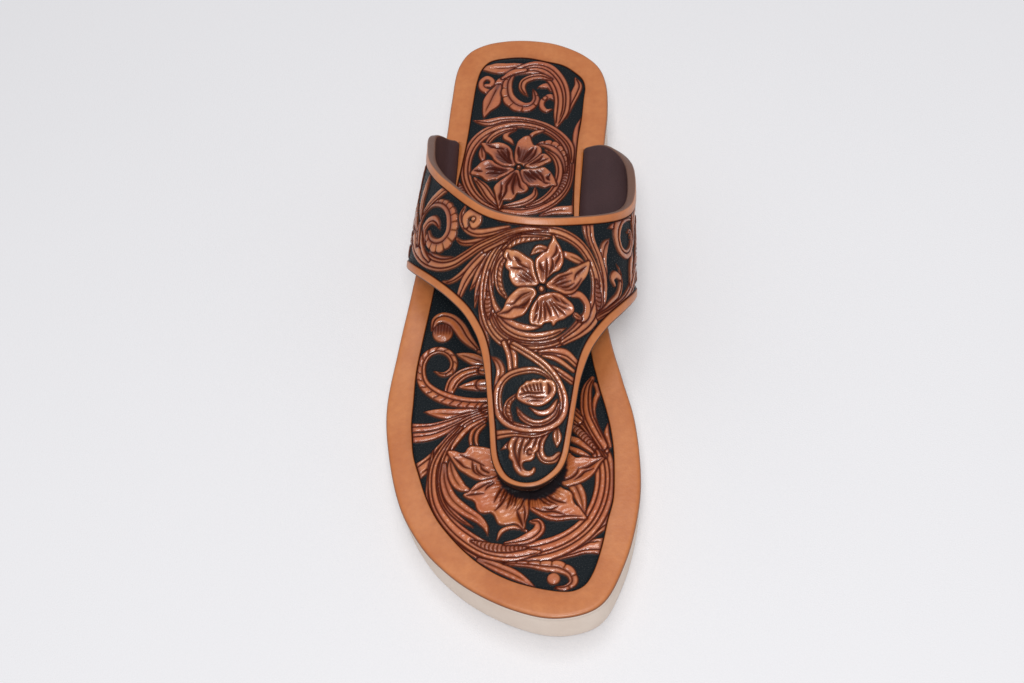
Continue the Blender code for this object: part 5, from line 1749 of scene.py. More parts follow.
@dataclass
class Plate:
    """A sheet of leather with rounded edges and a shallow recess for its tooling.

    Args:
        name: of its object.
        outline: its closed flat edge.
        line: the closed line that frames the tooling.
        place: lays flat points on the sandal at a depth.
        wall: gives the leather's thickness at flat points.
        rim: the rings round its edge from face to back, each with how far in it lies, its depth as a
        share of the thickness, the depth beyond that, its share of the cut edge's colour and the slot
        of the faces after it.
        lip: the rings round the recess, each with how far out it lies and its depth.
        recess: depth of the recess.
        pitch: distance between the vertices of its flat regions.
    """

    name: str
    outline: Array
    line: Array
    place: Callable[[Array, Array], Array]
    wall: Callable[[Array], Array]
    rim: Rim
    lip: tuple[tuple[float, float], ...] = ((0.45, 0.0), (0.24, 0.05), (0.09, 0.18), (0.0, 0.45))
    recess: float = 1.9
    pitch: float = 2.5

    def make(self, finishes: list[bpy.types.Material]) -> bpy.types.Object:
        """Makes the sheet.

        Args:
            finishes: those of the face and of the back.

        Returns:
            Its object.
        """
        shell = Shell()
        low, high = self.outline.min(axis=0), self.outline.max(axis=0)
        steps = [np.arange(low[k], high[k], self.pitch) for k in (0, 1)]
        grid = np.stack(np.meshgrid(*steps), axis=-1).reshape(-1, 2)
        rings, flats = [], []
        for moved, share, deep, edge_share, _ in self.rim:
            flat = inset(self.outline, moved)
            depth = share * self.wall(flat) + deep
            rings.append(shell.add(self.place(flat, depth), edge=edge_share))
            flats.append(flat)
        for k, (first, second) in enumerate(zip(rings, rings[1:])):
            shell.bridge(first, second, self.rim[k][4])
        lips = []
        for out, depth in self.lip:
            flat = inset(self.line, -out) if out else self.line
            mark = float(groove(out, 0.32))
            lips.append(shell.add(self.place(flat, np.full(len(flat), depth)), cut=mark))
            flats.append(flat)
        floor = shell.add(self.place(self.line, np.full(len(self.line), self.recess)), cut=1.0)
        for first, second in zip(lips, lips[1:] + [floor]):
            shell.bridge(first, second)
        self.cover(shell, flats[0], [flats[len(rings)]], grid, [rings[0], lips[0]], 0.0, 0)
        self.cover(shell, self.line, [], grid, [floor], self.recess, 0)
        self.cover(shell, flats[len(rings) - 1], [], grid, [rings[-1]], -1.0, 1)
        return shell.make(self.name, finishes, crease=CREASE)

    def cover(
        self, shell: Shell, outer: Array, holes: list[Array], grid: Array, rims: list[Array],
        depth: float, slot: int,
    ) -> None:
        """Covers a region with triangles.

        Args:
            shell: what the piece is gathered in.
            outer: the region's closed edge.
            holes: closed lines left open in it.
            grid: points wanted inside it.
            rims: vertex indices along the edge and the holes.
            depth: of the region, or a negative number for the back.
            slot: number of the finish on it.
        """
        flat, faces = fill(outer, holes, grid, clearance=0.45 * self.pitch)
        count = sum(len(r) for r in rims)
        extra = flat[count:]
        down = np.full(len(extra), depth) if depth >= 0 else self.wall(extra)
        inner = shell.add(self.place(extra, down))
        index = np.concatenate([*rims, inner])
        shell.face([tuple(index[list(f)].tolist()) for f in faces], slot)


# ---------------------------------------------------------------------------------------------
# Finishes
# ---------------------------------------------------------------------------------------------


def linear(code: str) -> tuple[float, float, float, float]:
    """Turns an sRGB hex colour into a linear one.

    Args:
        code: six hex digits.

    Returns:
        Red, green, blue and alpha.
    """
    parts = [int(code[k : k + 2], 16) / 255.0 for k in (0, 2, 4)]
    return (*[p / 12.92 if p <= 0.04045 else ((p + 0.055) / 1.055) ** 2.4 for p in parts], 1.0)


def add_node(
    tree: bpy.types.NodeTree, kind: str, settings: dict[str, object], links: dict[int | str, object]
) -> bpy.types.Node:
    """Adds a node to a tree.

    Args:
        tree: the tree.
        kind: the node's type.
        settings: its properties by name.
        links: for each input, a value or the output that feeds it.

    Returns:
        The node.
    """
    node = tree.nodes.new(kind)
    for name, value in settings.items():
        setattr(node, name, value)
    for key, value in links.items():
        if isinstance(value, bpy.types.NodeSocket):
            tree.links.new(value, node.inputs[key])
        else:
            node.inputs[key].default_value = value
    return node


@dataclass(frozen=True)
class Finish:
    """What every finish has.

    Args:
        name: the material's name.
        roughness: of its surface.
        gloss: weight of the clear seal over it.
        seal: roughness of that seal.
    """

    name: str
    roughness: float
    gloss: float = 0.0
    seal: float = 0.2

    def start(self) -> tuple[bpy.types.Material, bpy.types.NodeTree, bpy.types.Node]:
        """Starts an empty material with its shader.

        Returns:
            The material, its tree and its shader.
        """
        made = bpy.data.materials.new(self.name)
        made.use_nodes = True
        tree = made.node_tree
        tree.nodes.clear()
        values = {
            "Metallic": 0.0, "IOR": 1.5, "Roughness": self.roughness,
            "Coat Weight": self.gloss, "Coat Roughness": self.seal, "Coat IOR": 1.6,
        }
        shader = add_node(tree, "ShaderNodeBsdfPrincipled", {}, values)
        add_node(tree, "ShaderNodeOutputMaterial", {}, {"Surface": shader.outputs[0]})
        return made, tree, shader


@dataclass(frozen=True)
class TooledLeather(Finish):
    """Vegetable-tanned cowhide, carved, dyed black in its ground, antiqued and sealed.

    The tan runs uneven where the hide took the oil. Antique paste stays dark in the cuts and round
    the bevels, and the acrylic seal over it all gives small bright highlights on every raised edge.
    The matted ground soaks up its dye and stays dull.

    Args:
        tan: colour of the hide.
        pale: where the hide took less oil.
        deep: its fine darker flecks.
        stain: where a little antique paste stays.
        antique: where the paste stays thick.
        ground: the black dye, also the colour of painted shade laid into the carving.
        burnish: the cut edge towards the toe.
        painted_sheen_edge: the cut edge towards the heel.
        relief: strength of the grain.
        grain: size of the pores.
        cloud: size of the uneven patches.
        fleck: size of the flecks.
        wave: size of the wrinkles between the pores.
    """

    tan: str = "BF6E36"
    pale: str = "CB7D45"
    deep: str = "A8582A"
    stain: str = "742A12"
    antique: str = "3A0F06"
    ground: str = "151B1F"
    burnish: str = "38140C"
    painted_sheen_edge: str = "38140C"
    relief: float = 0.25
    grain: float = 0.9
    cloud: float = 14.0
    fleck: float = 2.4
    wave: float = 1.6

    def make(self) -> bpy.types.Material:
        """Builds the material.

        Returns:
            The material.
        """
        made, tree, shader = self.start()
        place = add_node(tree, "ShaderNodeTexCoord", {}, {}).outputs["Object"]
        read = {}
        for name in ("ink", "cut", "tone", "edge"):
            read[name] = add_node(tree, "ShaderNodeAttribute", {"attribute_name": name}, {}).outputs["Fac"]
        noises = (("cloud", self.cloud, 3.0), ("fleck", self.fleck, 5.0), ("wave", self.wave, 4.0))
        for name, size, detail in noises:
            values = {"Vector": place, "Scale": 1000.0 / size, "Detail": detail, "Roughness": 0.55}
            noise = add_node(tree, "ShaderNodeTexNoise", {"noise_dimensions": "3D"}, values)
            read[name] = noise.outputs[0]
        read["heelward"] = add_node(tree, "ShaderNodeSeparateXYZ", {}, {0: place}).outputs[1]
        # Painted sheen: the dyed cut edge turns paler towards the heel, where it faces the light.
        painted_sheen = (("heelward", -0.03, 0.005, 0.0, 1.0, linear(self.painted_sheen_edge)),)
        edge = self.dye(tree, read, linear(self.burnish), painted_sheen)
        hide = self.dye(tree, read, linear(self.tan), (
            ("cloud", 0.35, 0.65, 0.0, 1.0, linear(self.pale)),
            ("fleck", 0.3, 0.7, 0.35, 0.0, linear(self.deep)),
            ("tone", 0.0, 0.6, 0.0, 0.9, linear(self.stain)),
            ("tone", 0.45, 1.0, 0.0, 0.9, linear(self.antique)),
            ("cut", 0.0, 1.0, 0.0, 1.0, linear(self.antique)),
            ("ink", 0.0, 1.0, 0.0, 1.0, linear(self.ground)),
            ("edge", 0.0, 1.0, 0.0, 1.0, edge),
        ))
        tree.links.new(hide, shader.inputs["Base Color"])
        dull = add_node(tree, "ShaderNodeMapRange", {}, {0: read["edge"], 1: 0.0, 2: 1.0, 3: 0.0, 4: 0.55})
        for name in ("ink", "cut"):
            dull = add_node(
                tree, "ShaderNodeMath", {"operation": "MAXIMUM"}, {0: dull.outputs[0], 1: read[name]}
            )
        shines = (("Coat Weight", 0.5, self.gloss, 0.0), ("Specular IOR Level", 0.6, 0.5, 0.12))
        for socket, end, most, least in shines:
            shine = add_node(
                tree, "ShaderNodeMapRange", {}, {0: dull.outputs[0], 1: 0.05, 2: end, 3: most, 4: least}
            )
            tree.links.new(shine.outputs[0], shader.inputs[socket])
        pores = add_node(
            tree, "ShaderNodeTexVoronoi", {"feature": "F1"}, {"Vector": place, "Scale": 1000.0 / self.grain}
        )
        height = add_node(
            tree, "ShaderNodeMath", {"operation": "ADD"}, {0: pores.outputs[0], 1: read["wave"]}
        )
        bump = add_node(
            tree, "ShaderNodeBump", {},
            {"Strength": self.relief, "Distance": 0.0004, "Height": height.outputs[0]},
        )
        tree.links.new(bump.outputs[0], shader.inputs["Normal"])
        return made

    @staticmethod
    def dye(
        tree: bpy.types.NodeTree, read: dict[str, bpy.types.NodeSocket], colour: object,
        coats: tuple[tuple[str, float, float, float, float, object], ...],
    ) -> bpy.types.NodeSocket:
        """Lays coats of colour over each other.

        Args:
            tree: the material's tree.
            read: what each coat may follow, by name.
            colour: the colour under the first coat.
            coats: for each, the name it follows, that value's range, the coat's strength at each end
                of the range, and its colour.

        Returns:
            The output that holds the finished colour.
        """
        for name, low, high, first, last, coat in coats:
            share = add_node(
                tree, "ShaderNodeMapRange", {}, {0: read[name], 1: low, 2: high, 3: first, 4: last}
            )
            mixed = add_node(
                tree, "ShaderNodeMix", {"data_type": "RGBA", "blend_type": "MIX"},
                {0: share.outputs[0], 6: colour, 7: coat},
            )
            colour = mixed.outputs[2]
        return colour


@dataclass(frozen=True)
class PlainSurface(Finish):
    """A surface of one colour with soft variation and a fine relief.

    Args:
        colour: its colour.
        shade: the colour of its darker patches.
        patch: size of the patches.
        relief: size of the relief's bumps.
        depth: height of the relief in metres.
    """

    colour: str = "808080"
    shade: str = "707070"
    patch: float = 12.0
    relief: float = 0.6
    depth: float = 0.0002

    def make(self) -> bpy.types.Material:
        """Builds the material.

        Returns:
            The material.
        """
        made, tree, shader = self.start()
        place = add_node(tree, "ShaderNodeTexCoord", {}, {}).outputs["Object"]
        patches, bumps = (
            add_node(
                tree, "ShaderNodeTexNoise", {"noise_dimensions": "3D"},
                {"Vector": place, "Scale": 1000.0 / size, "Detail": detail, "Roughness": 0.55},
            )
            for size, detail in ((self.patch, 3.0), (self.relief, 4.0))
        )
        share = add_node(
            tree, "ShaderNodeMapRange", {}, {0: patches.outputs[0], 1: 0.3, 2: 0.7, 3: 0.0, 4: 1.0}
        )
        mixed = add_node(
            tree, "ShaderNodeMix", {"data_type": "RGBA", "blend_type": "MIX"},
            {0: share.outputs[0], 6: linear(self.colour), 7: linear(self.shade)},
        )
        tree.links.new(mixed.outputs[2], shader.inputs["Base Color"])
        bump = add_node(
            tree, "ShaderNodeBump", {},
            {"Strength": 0.5, "Distance": self.depth, "Height": bumps.outputs[0]},
        )
        tree.links.new(bump.outputs[0], shader.inputs["Normal"])
        return made


# ---------------------------------------------------------------------------------------------
# Sub-assemblies
# ---------------------------------------------------------------------------------------------


@dataclass
class Insole:
    """The tooled leather insole on its crepe midlayer.

    Args:
        footbed: the surface it gives the foot.
        thickness: of the leather and the midlayer together.
        slot_play: gap at each end of a wing, and twice the gap at its outer face.
        grip: gap at its inner face, narrow so that the sole doesn't show through.
        skived: thickness of the wing in the slot.
        post: x, y, width, length and corner radius of the toe post's hole.
        split: place where the tooling's front piece ends and its heel piece starts.
        rim: the rings round its edge, as its plate takes them.
    """

    footbed: Footbed
    thickness: float = 3.4
    slot_play: float = 0.8
    grip: float = 0.08
    skived: float = 2.0
    post: tuple[float, float, float, float, float] = (8.4, -73.5, 5.6, 11.6, 2.5)
    split: float = 26.0
    rim: Rim = (
        (1.7, 0.0, 0.0, 0.0, 0), (1.0, 0.0, 0.06, 0.0, 0), (0.5, 0.0, 0.22, 0.1, 0),
        (0.2, 0.0, 0.5, 0.35, 0), (0.03, 0.0, 0.9, 0.7, 0), (0.0, 0.0, 1.2, 0.75, 0),
        (0.05, 0.0, 1.35, 0.6, 1), (0.05, 0.0, 1.4, 0.0, 1), (0.0, 0.0, 1.7, 0.0, 1),
        (0.0, 1.0, -0.3, 0.0, 1), (0.3, 1.0, 0.0, 0.0, 1),
    )

    def post_hole(self) -> Array:
        """Traces the hole for the toe post.

        Returns:
            Its closed plan outline.
        """
        x, y, wide, long, corner = self.post
        points = []
        for quarter in range(4):
            sx = 1.0 if quarter in (0, 3) else -1.0
            sy = 1.0 if quarter in (0, 1) else -1.0
            for step in range(7):
                angle = math.radians(90 * quarter + 15 * step)
                cx = x + sx * (wide / 2 - corner) + corner * math.cos(angle)
                points.append((cx, y + sy * (long / 2 - corner) + corner * math.sin(angle)))
        return np.array(points)

    def slot_line(self, last: UpperLast, side: int, y0: float, y1: float) -> Array:
        """Traces the slot for one wing.

        Args:
            last: the upper's shape.
            side: column of its sides that holds the slot, 2 on the outer side and 4 on the inner.
            y0: front end of the wing.
            y1: rear end of the wing.

        Returns:
            Its closed plan outline.
        """
        ys = np.linspace(y0 - self.slot_play, y1 + self.slot_play, 48)
        sign = -1.0 if side == 2 else 1.0
        outer = read_table(last.sides, side, ys) + sign * self.slot_play / 2
        inner = outer - sign * (self.skived + self.slot_play / 2 + self.grip)
        return np.vstack([np.column_stack([outer, ys]), np.column_stack([inner, ys])[::-1]])

    def build(self, last: UpperLast, tooling: Tooling, tooled: bpy.types.Material,
              plain: bpy.types.Material, matted: bpy.types.Material,
              backing: bpy.types.Material) -> list[bpy.types.Object]:
        """Builds the insole and its tooling.

        Args:
            last: the upper's shape, whose wings enter the slots.
            tooling: the carving.
            tooled: finish of the carved leather.
            plain: finish of its border.
            matted: finish of the seeds in its ground.
            backing: finish of the layer under it.

        Returns:
            The pieces: the insole first.
        """
        edge = smooth_path(self.footbed.edge, spacing=1.2, closed=True)
        line = smooth_path(self.footbed.panel, spacing=0.7, closed=True)
        plate = Plate(
            "insole", edge, line, self.footbed.place,
            lambda flat: np.full(len(flat), self.thickness), self.rim,
        )
        body = plate.make([plain, backing])
        cutters = [self.post_hole()]
        cutters.append(self.slot_line(last, 2, last.front[0][1], last.collar[-1][1]))
        cutters.append(self.slot_line(last, 4, last.front[-1][1], last.collar[0][1]))
        for path in cutters:
            cut_through(body, path, low=8.0, high=45.0)
        pieces = [body]
        for name, low, high in (
            ("insole_tooling_front", -math.inf, self.split), ("insole_tooling_heel", self.split, math.inf)
        ):
            sheet = ToolingSheet(
                name, tooling, line, self.footbed.place, cell=0.31,
                holes=(self.post_hole(),) if low < 0 else (), low=low, high=high,
            )
            pieces.append(sheet.make(tooled))
            pieces.append(Matting().stamp(name.replace("tooling", "matting"), pieces[-1], matted))
        return pieces


def cut_through(piece: bpy.types.Object, path: Array, low: float, high: float) -> None:
    """Cuts an upright hole through a piece.

    Args:
        piece: the piece.
        path: the hole's plan outline.
        low: height where the cutter starts.
        high: height where it ends.
    """
    shell = Shell()
    bottom = shell.add(np.column_stack([path, np.full(len(path), low)]), cut=1.0)
    top = shell.add(np.column_stack([path, np.full(len(path), high)]), cut=1.0)
    shell.bridge(bottom, top)
    shell.face([tuple(bottom.tolist()), tuple(top.tolist())])
    cutter = shell.make("cutter", list(piece.data.materials))
    turn = piece.modifiers.new("hole", "BOOLEAN")
    turn.operation = "DIFFERENCE"
    turn.solver = "EXACT"
    turn.object = cutter
    settle(piece)
    bpy.data.objects.remove(cutter, do_unlink=True)


def settle(piece: bpy.types.Object) -> None:
    """Turns a piece's modifiers into plain mesh.

    Args:
        piece: the piece.
    """
    graph = bpy.context.evaluated_depsgraph_get()
    mesh = bpy.data.meshes.new_from_object(piece.evaluated_get(graph))
    piece.modifiers.clear()
    piece.data = mesh


@dataclass
class Upper:
    """The one-piece upper: a band over the instep and a tongue that runs to the toe post.

    Args:
        last: the surface it is shaped over.
        border: width of the plain border round its tooling.
        reach: how far across the leather the tooling runs.
        rim: the rings round its edge, as its plate takes them.
    """

    last: UpperLast
    border: float = 3.3
    reach: float = 77.0
    rim: Rim = (
        (1.1, 0.0, 0.0, 0.0, 0), (0.7, 0.0, 0.05, 0.0, 0), (0.4, 0.0, 0.2, 0.9, 0),
        (0.13, 0.0, 0.5, 1.0, 0), (0.0, 0.0, 0.85, 1.0, 0), (0.0, 1.0, -0.75, 1.0, 0),
        (0.13, 1.0, -0.4, 1.0, 0), (0.4, 1.0, -0.12, 1.0, 0), (0.8, 1.0, 0.0, 1.0, 1),
    )

    def build(self, tooling: Tooling, tooled: bpy.types.Material, plain: bpy.types.Material,
              matted: bpy.types.Material, lining: bpy.types.Material) -> list[bpy.types.Object]:
        """Builds the upper and its tooling.

        Args:
            tooling: the carving.
            tooled: finish of the carved face.
            plain: finish of its border.
            matted: finish of the seeds in its ground.
            lining: finish of the inside.

        Returns:
            The pieces: the upper first.
        """
        line = self.last.frame_line(self.border, self.reach, spacing=0.6)
        plate = Plate(
            "upper", self.last.outline(spacing=0.9), line, self.last.place, self.last.wall, self.rim,
            recess=1.5, pitch=2.0,
        )
        sheet = ToolingSheet("upper_tooling", tooling, line, self.last.place, cell=0.335, depth=1.3)
        carved = sheet.make(tooled)
        return [plate.make([plain, lining]), carved, Matting().stamp("upper_matting", carved, matted)]


@dataclass
class Matting:
    """The seeds that a matting stamp leaves in the dyed ground.

    Args:
        spacing: least distance between two seeds.
        radius: of a seed.
        flatness: height of a seed as a share of its radius.
        sizes: the least and the greatest scale of a seed.
        dyed: share of dye from which the ground is stamped.
        per_square_metre: how many seeds are tried.
        seed: start of the random draws.
    """

    spacing: float = 0.95
    radius: float = 0.27
    flatness: float = 0.6
    sizes: tuple[float, float] = (0.7, 1.15)
    dyed: float = 0.97
    per_square_metre: float = 2.2e6
    seed: int = 7

    def grain_of(self) -> bpy.types.Object:
        """Makes one seed, a low dome.

        Returns:
            Its object, outside the scene.
        """
        mesh = bpy.data.meshes.new("matting_grain")
        work = bmesh.new()
        bmesh.ops.create_icosphere(work, subdivisions=1, radius=self.radius * MM)
        bmesh.ops.scale(work, vec=(1.0, 1.0, self.flatness), verts=work.verts)
        work.to_mesh(mesh)
        work.free()
        for face in mesh.polygons:
            face.use_smooth = True
        return bpy.data.objects.new("matting_grain", mesh)

    def tree(self) -> bpy.types.NodeTree:
        """Builds the nodes that scatter seeds over a sheet wherever its ground is dyed.

        Returns:
            The tree.
        """
        tree = bpy.data.node_groups.new("matting_stamp", "GeometryNodeTree")
        inputs = (("sheet", "Geometry"), ("grain", "Object"), ("spacing", "Float"), ("finish", "Material"))
        for name, kind in inputs:
            tree.interface.new_socket(name, in_out="INPUT", socket_type=f"NodeSocket{kind}")
        tree.interface.new_socket("seeds", in_out="OUTPUT", socket_type="NodeSocketGeometry")
        enter = add_node(tree, "NodeGroupInput", {}, {})
        dyed = add_node(tree, "GeometryNodeInputNamedAttribute", {"data_type": "FLOAT"}, {0: "ink"})
        share = add_node(
            tree, "ShaderNodeMath", {"operation": "GREATER_THAN"}, {0: dyed.outputs[0], 1: self.dyed}
        )
        spots = add_node(
            tree, "GeometryNodeDistributePointsOnFaces", {"distribute_method": "POISSON"},
            {"Mesh": enter.outputs["sheet"], "Distance Min": enter.outputs["spacing"],
             "Density Max": self.per_square_metre, "Density Factor": share.outputs[0], "Seed": self.seed},
        )
        shape = add_node(
            tree, "GeometryNodeObjectInfo", {"transform_space": "ORIGINAL"},
            {"Object": enter.outputs["grain"]},
        )
        size = add_node(
            tree, "FunctionNodeRandomValue", {"data_type": "FLOAT"},
            {2: self.sizes[0], 3: self.sizes[1], "Seed": self.seed},
        )
        placed = add_node(
            tree, "GeometryNodeInstanceOnPoints", {},
            {"Points": spots.outputs["Points"], "Instance": shape.outputs["Geometry"],
             "Rotation": spots.outputs["Rotation"], "Scale": size.outputs[1]},
        )
        solid = add_node(tree, "GeometryNodeRealizeInstances", {}, {0: placed.outputs[0]})
        dressed = add_node(
            tree, "GeometryNodeSetMaterial", {},
            {"Geometry": solid.outputs[0], "Material": enter.outputs["finish"]},
        )
        add_node(tree, "NodeGroupOutput", {}, {0: dressed.outputs[0]})
        return tree

    def stamp(self, name: str, sheet: bpy.types.Object, finish: bpy.types.Material) -> bpy.types.Object:
        """Stamps the ground of one carved sheet.

        Args:
            name: the new piece's name.
            sheet: the carved sheet.
            finish: the dyed leather.

        Returns:
            The seeds as one piece.
        """
        piece = bpy.data.objects.new(name, sheet.data.copy())
        bpy.context.scene.collection.objects.link(piece)
        tree = self.tree()
        nodes = piece.modifiers.new("matting", "NODES")
        nodes.node_group = tree
        values = {"grain": self.grain_of(), "spacing": self.spacing * MM, "finish": finish}
        for item in tree.interface.items_tree:
            if item.name in values:
                nodes[item.identifier] = values[item.name]
        settle(piece)
        LOG.info("%s: %d faces", name, len(piece.data.polygons))
        return piece


@dataclass
class Sole:
    """The wedge of crepe rubber.

    Args:
        footbed: the surface above it.
        margin: how far its side lies inside the insole's.
        gap: the glue line between it and the insole.
        insole: thickness of the insole.
        levels: the rings round its side from floor to top, each with how far in it lies beyond the
            margin, its place up the side as a share and the height beyond that.
    """

    footbed: Footbed
    margin: float = 0.9
    gap: float = 0.3
    insole: float = 3.4
    levels: tuple[tuple[float, float, float], ...] = (
        (1.2, 0.0, 0.0), (0.5, 0.0, 0.12), (0.15, 0.0, 0.6), (0.0, 0.0, 1.4), (0.0, 0.3, 0.0),
        (0.0, 0.6, 0.0), (0.0, 1.0, -0.8), (0.1, 1.0, -0.25), (0.5, 1.0, 0.0),
    )

    def build(self, finish: bpy.types.Material) -> bpy.types.Object:
        """Builds the sole.

        Args:
            finish: the crepe rubber.

        Returns:
            Its object.
        """
        edge = smooth_path(self.footbed.edge, spacing=1.2, closed=True)
        shell = Shell()
        rings, flats = [], []
        for moved, share, rise in self.levels:
            flat = inset(edge, self.margin + moved)
            low = self.footbed.spring(flat[:, 1])
            high = self.footbed.height(flat[:, 1]) - self.insole - self.gap
            rings.append(shell.add(np.column_stack([flat, low + share * (high - low) + rise])))
            flats.append(flat)
        for first, second in zip(rings, rings[1:]):
            shell.bridge(first, second)
        steps = np.stack(np.meshgrid(np.arange(-46.0, 47.0, 5.0), np.arange(-130.0, 131.0, 5.0)), -1)
        for ring, flat, top in ((rings[0], flats[0], False), (rings[-1], flats[-1], True)):
            points, faces = fill(flat, [], steps.reshape(-1, 2), clearance=2.5)
            extra = points[len(flat) :]
            height = self.footbed.spring(extra[:, 1])
            if top:
                height = self.footbed.height(extra[:, 1]) - self.insole - self.gap
            index = np.concatenate([ring, shell.add(np.column_stack([extra, height]))])
            shell.face([tuple(index[list(f)].tolist()) for f in faces])
        return shell.make("sole", [finish], crease=CREASE)


@dataclass
class ToePost:
    """The leather thong between the toes.

    Args:
        last: the upper's shape.
        centre: its x and y.
        width: across the foot.
        length: along the foot.
        squareness: power that rounds its corners, 1 for an oval and less for a squarer one.
        sunk: how far it goes into the insole.
        play: gap between it and the upper.
        waist: share by which it is narrower half way up.
    """

    last: UpperLast
    centre: tuple[float, float] = (8.4, -73.5)
    width: float = 5.0
    length: float = 11.0
    squareness: float = 0.62
    sunk: float = 3.4
    play: float = 0.75
    waist: float = 0.06

    def build(self, finish: bpy.types.Material) -> bpy.types.Object:
        """Builds the post.

        Args:
            finish: the leather.

        Returns:
            Its object.
        """
        x0, y0 = self.centre
        turn = np.radians(np.arange(0.0, 360.0, 7.5))
        out = np.column_stack([
            x0 + self.width / 2 * np.sign(np.cos(turn)) * np.abs(np.cos(turn)) ** self.squareness,
            y0 + self.length / 2 * np.sign(np.sin(turn)) * np.abs(np.sin(turn)) ** self.squareness,
        ])
        low = self.last.footbed.height(out[:, 1]) - self.sunk
        high = np.array([self.underside(x, y) for x, y in out]) - self.play
        shell = Shell()
        rings = []
        for share in np.linspace(0.0, 1.0, 9):
            pinch = 1.0 - self.waist * math.sin(math.pi * share)
            flat = (out - (x0, y0)) * (pinch, 1.0) + (x0, y0)
            rings.append(shell.add(np.column_stack([flat, low + share * (high - low)])))
        for first, second in zip(rings, rings[1:]):
            shell.bridge(first, second)
        shell.face([tuple(rings[0].tolist()), tuple(rings[-1].tolist())], smooth=False)
        return shell.make("toe_post", [finish], crease=CREASE)

    def underside(self, x: float, y: float) -> float:
        """Finds the height of the upper's inner face above one place near its tip.

        Args:
            x: the place across.
            y: the place along.

        Returns:
            The height above the floor.
        """
        last = self.last
        crown_x = float(read_table(last.crown, 1, y)[0])
        crown_h = float(read_table(last.crown, 2, y)[0])
        half = float(read_table(last.sides, 3, y)[0]) - crown_x
        drop = last.band_drop * (1.0 - math.sqrt(1.0 - ((x - crown_x) / half) ** 2))
        rise = read_table(last.crown, 2, np.array([y - 1.0, y + 1.0]))
        slope = (rise[1] - rise[0]) / 2.0
        return float(last.footbed.height(y)) + crown_h - drop - last.thickness * math.hypot(1.0, slope)


# ---------------------------------------------------------------------------------------------
# Studio
# ---------------------------------------------------------------------------------------------


@dataclass
class Studio:
    """A pale floor, soft light from above and the camera.

    Args:
        eye: the camera's place in millimetres.
        forward: where it looks.
        up: its upright.
        lens: its focal length in millimetres.
        floor_half: half the floor's width in metres.
    """

    eye: tuple[float, float, float] = (54.4, -347.1, 527.7)
    forward: tuple[float, float, float] = (-0.0922, 0.5426, -0.8349)
    up: tuple[float, float, float] = (0.0037, 0.8387, 0.5446)
    lens: float = 56.25
    floor_half: float = 3.0

    def build(self, finish: bpy.types.Material) -> None:
        """Sets up the floor, the lights and the camera.

        Args:
            finish: that of the floor.
        """
        scene = bpy.context.scene
        scene.view_settings.view_transform = "Standard"
        mesh = bpy.data.meshes.new("floor")
        half = self.floor_half
        corners = [(-half, -half, 0.0), (half, -half, 0.0), (half, half, 0.0), (-half, half, 0.0)]
        mesh.from_pydata(corners, [], [(0, 1, 2, 3)])
        mesh.materials.append(finish)
        floor = bpy.data.objects.new("floor", mesh)
        scene.collection.objects.link(floor)
        self.light("overhead_softbox", place=(0.0, 0.25, 1.5), side=0.5, power=4.2)
        self.light("front_softbox", place=(0.1, -0.7, 1.3), side=0.4, power=10.3)
        world = bpy.data.worlds.new("room")
        world.use_nodes = True
        back = world.node_tree.nodes["Background"]
        back.inputs["Color"].default_value = linear("F4F5F8")
        back.inputs["Strength"].default_value = 0.48
        scene.world = world
        camera = bpy.data.cameras.new("camera")
        camera.lens = self.lens
        camera.sensor_width = 36.0
        camera.clip_start = 0.01
        holder = bpy.data.objects.new("camera", camera)
        scene.collection.objects.link(holder)
        forward = Vector(self.forward).normalized()
        right = forward.cross(Vector(self.up)).normalized()
        up = right.cross(forward)
        turn = Matrix((right, up, -forward)).transposed().to_4x4()
        turn.translation = Vector(self.eye) * MM
        holder.matrix_world = turn
        scene.camera = holder

    def light(self, name: str, place: tuple[float, float, float], side: float, power: float) -> None:
        """Adds a square soft light aimed at the sandal.

        Args:
            name: its name.
            place: where it stands, in metres.
            side: its width and height in metres.
            power: in watts.
        """
        lamp = bpy.data.lights.new(name, "AREA")
        lamp.shape = "RECTANGLE"
        lamp.size = side
        lamp.size_y = side
        lamp.energy = power
        holder = bpy.data.objects.new(name, lamp)
        holder.location = place
        holder.rotation_euler = Vector(place).to_track_quat("Z", "Y").to_euler()
        bpy.context.scene.collection.objects.link(holder)


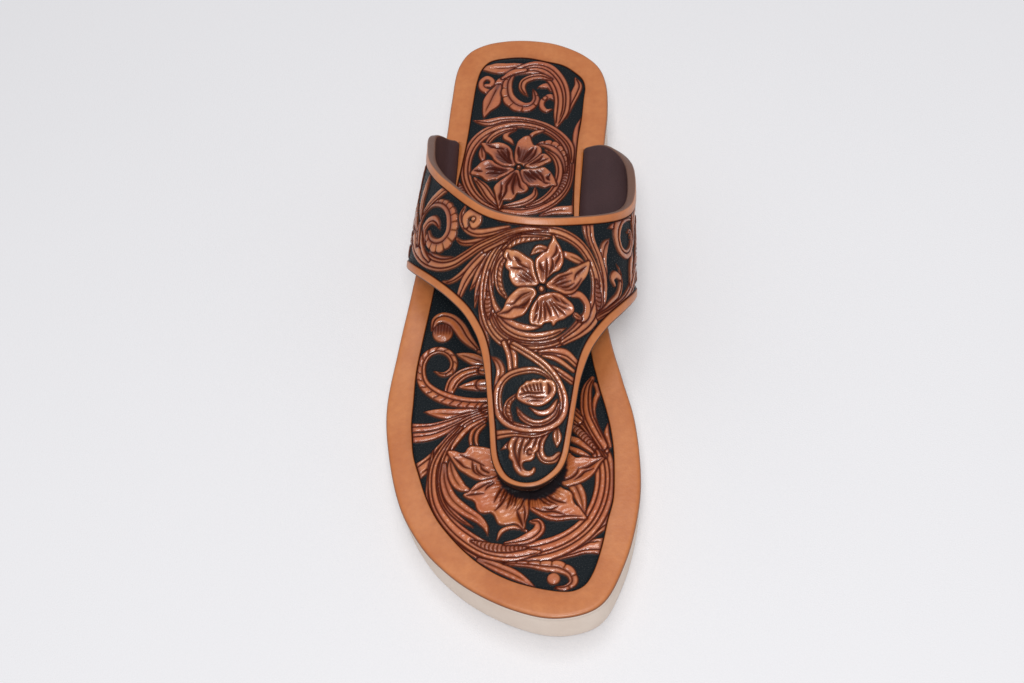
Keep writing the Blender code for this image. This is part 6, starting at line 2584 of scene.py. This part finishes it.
def main() -> None:
    """Builds the sandal piece by piece."""
    logging.basicConfig(level=logging.INFO, format="%(name)s: %(message)s")
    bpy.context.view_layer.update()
    footbed = Footbed()
    last = UpperLast(footbed)
    # The plain borders: oiled cowhide with a thin seal, so a satin tan with faint pores.
    plain = TooledLeather(
        "vegetable_tanned_cowhide", roughness=0.42, gloss=0.3, seal=0.3, relief=0.1
    ).make()
    # The strap's border: the same hide, its cut edge dyed dark, with painted sheen towards the heel.
    strap = TooledLeather(
        "edge_dyed_cowhide", roughness=0.42, gloss=0.3, seal=0.3, relief=0.1,
        burnish="24130F", painted_sheen_edge="75574B",
    ).make()
    # The carved faces: antique paste under a full acrylic seal, so deep cuts and wet highlights.
    tooled = TooledLeather(
        "antiqued_tooled_cowhide", roughness=0.45, gloss=1.0, seal=0.16,
        tan="C2602A", pale="CF7840", deep="98451D",
    ).make()
    upper_tooled = TooledLeather(
        "paler_antiqued_tooled_cowhide", roughness=0.45, gloss=1.0, seal=0.16,
        tan="C36B38", pale="D2874F", deep="9A4C24",
    ).make()
    # The sole: blown crepe rubber, cream and matt, with a fine crumb.
    crepe = PlainSurface("crepe_rubber", roughness=0.75, colour="E6D6C8", shade="DFCDBE").make()
    # The stamped ground: leather that drank black spirit dye, so nearly black with a dull sheen.
    matted = PlainSurface("black_dyed_matting", roughness=0.5, colour="1B2124", shade="12181B").make()
    # The lining: dyed pigskin, a dark plum brown with a soft nap.
    lining = PlainSurface("brown_pigskin_lining", roughness=0.6, colour="43292B", shade="3A2224").make()
    # The toe post: waxed bridle leather, almost chestnut and slightly glossy.
    thong = PlainSurface("dark_bridle_leather", roughness=0.45, colour="3A1A12", shade="2C130D").make()
    # The floor: board under white emulsion paint, so even and matt.
    floor = PlainSurface(
        "painted_board", roughness=0.6, colour="EBEAEC", shade="E9E8EA", patch=300.0
    ).make()
    insole = Insole(footbed).build(last, insole_tooling(), tooled, plain, matted, crepe)
    upper = Upper(last).build(upper_tooling(), upper_tooled, strap, matted, lining)
    groups = [
        ("tan_leather", "insole", insole),
        ("tooled_leather", "upper", upper),
        ("crepe_rubber", "sole", [Sole(footbed).build(crepe)]),
        ("dark_leather", "toe_post", [ToePost(last).build(thong)]),
    ]
    for slot, node, pieces in groups:
        for piece in pieces:
            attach(piece, "root")
            LOG.info("%s rides on root, finish %s", piece.name, slot)
        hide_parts(node)
    Studio().build(floor)


if __name__ == "__main__":
    main()
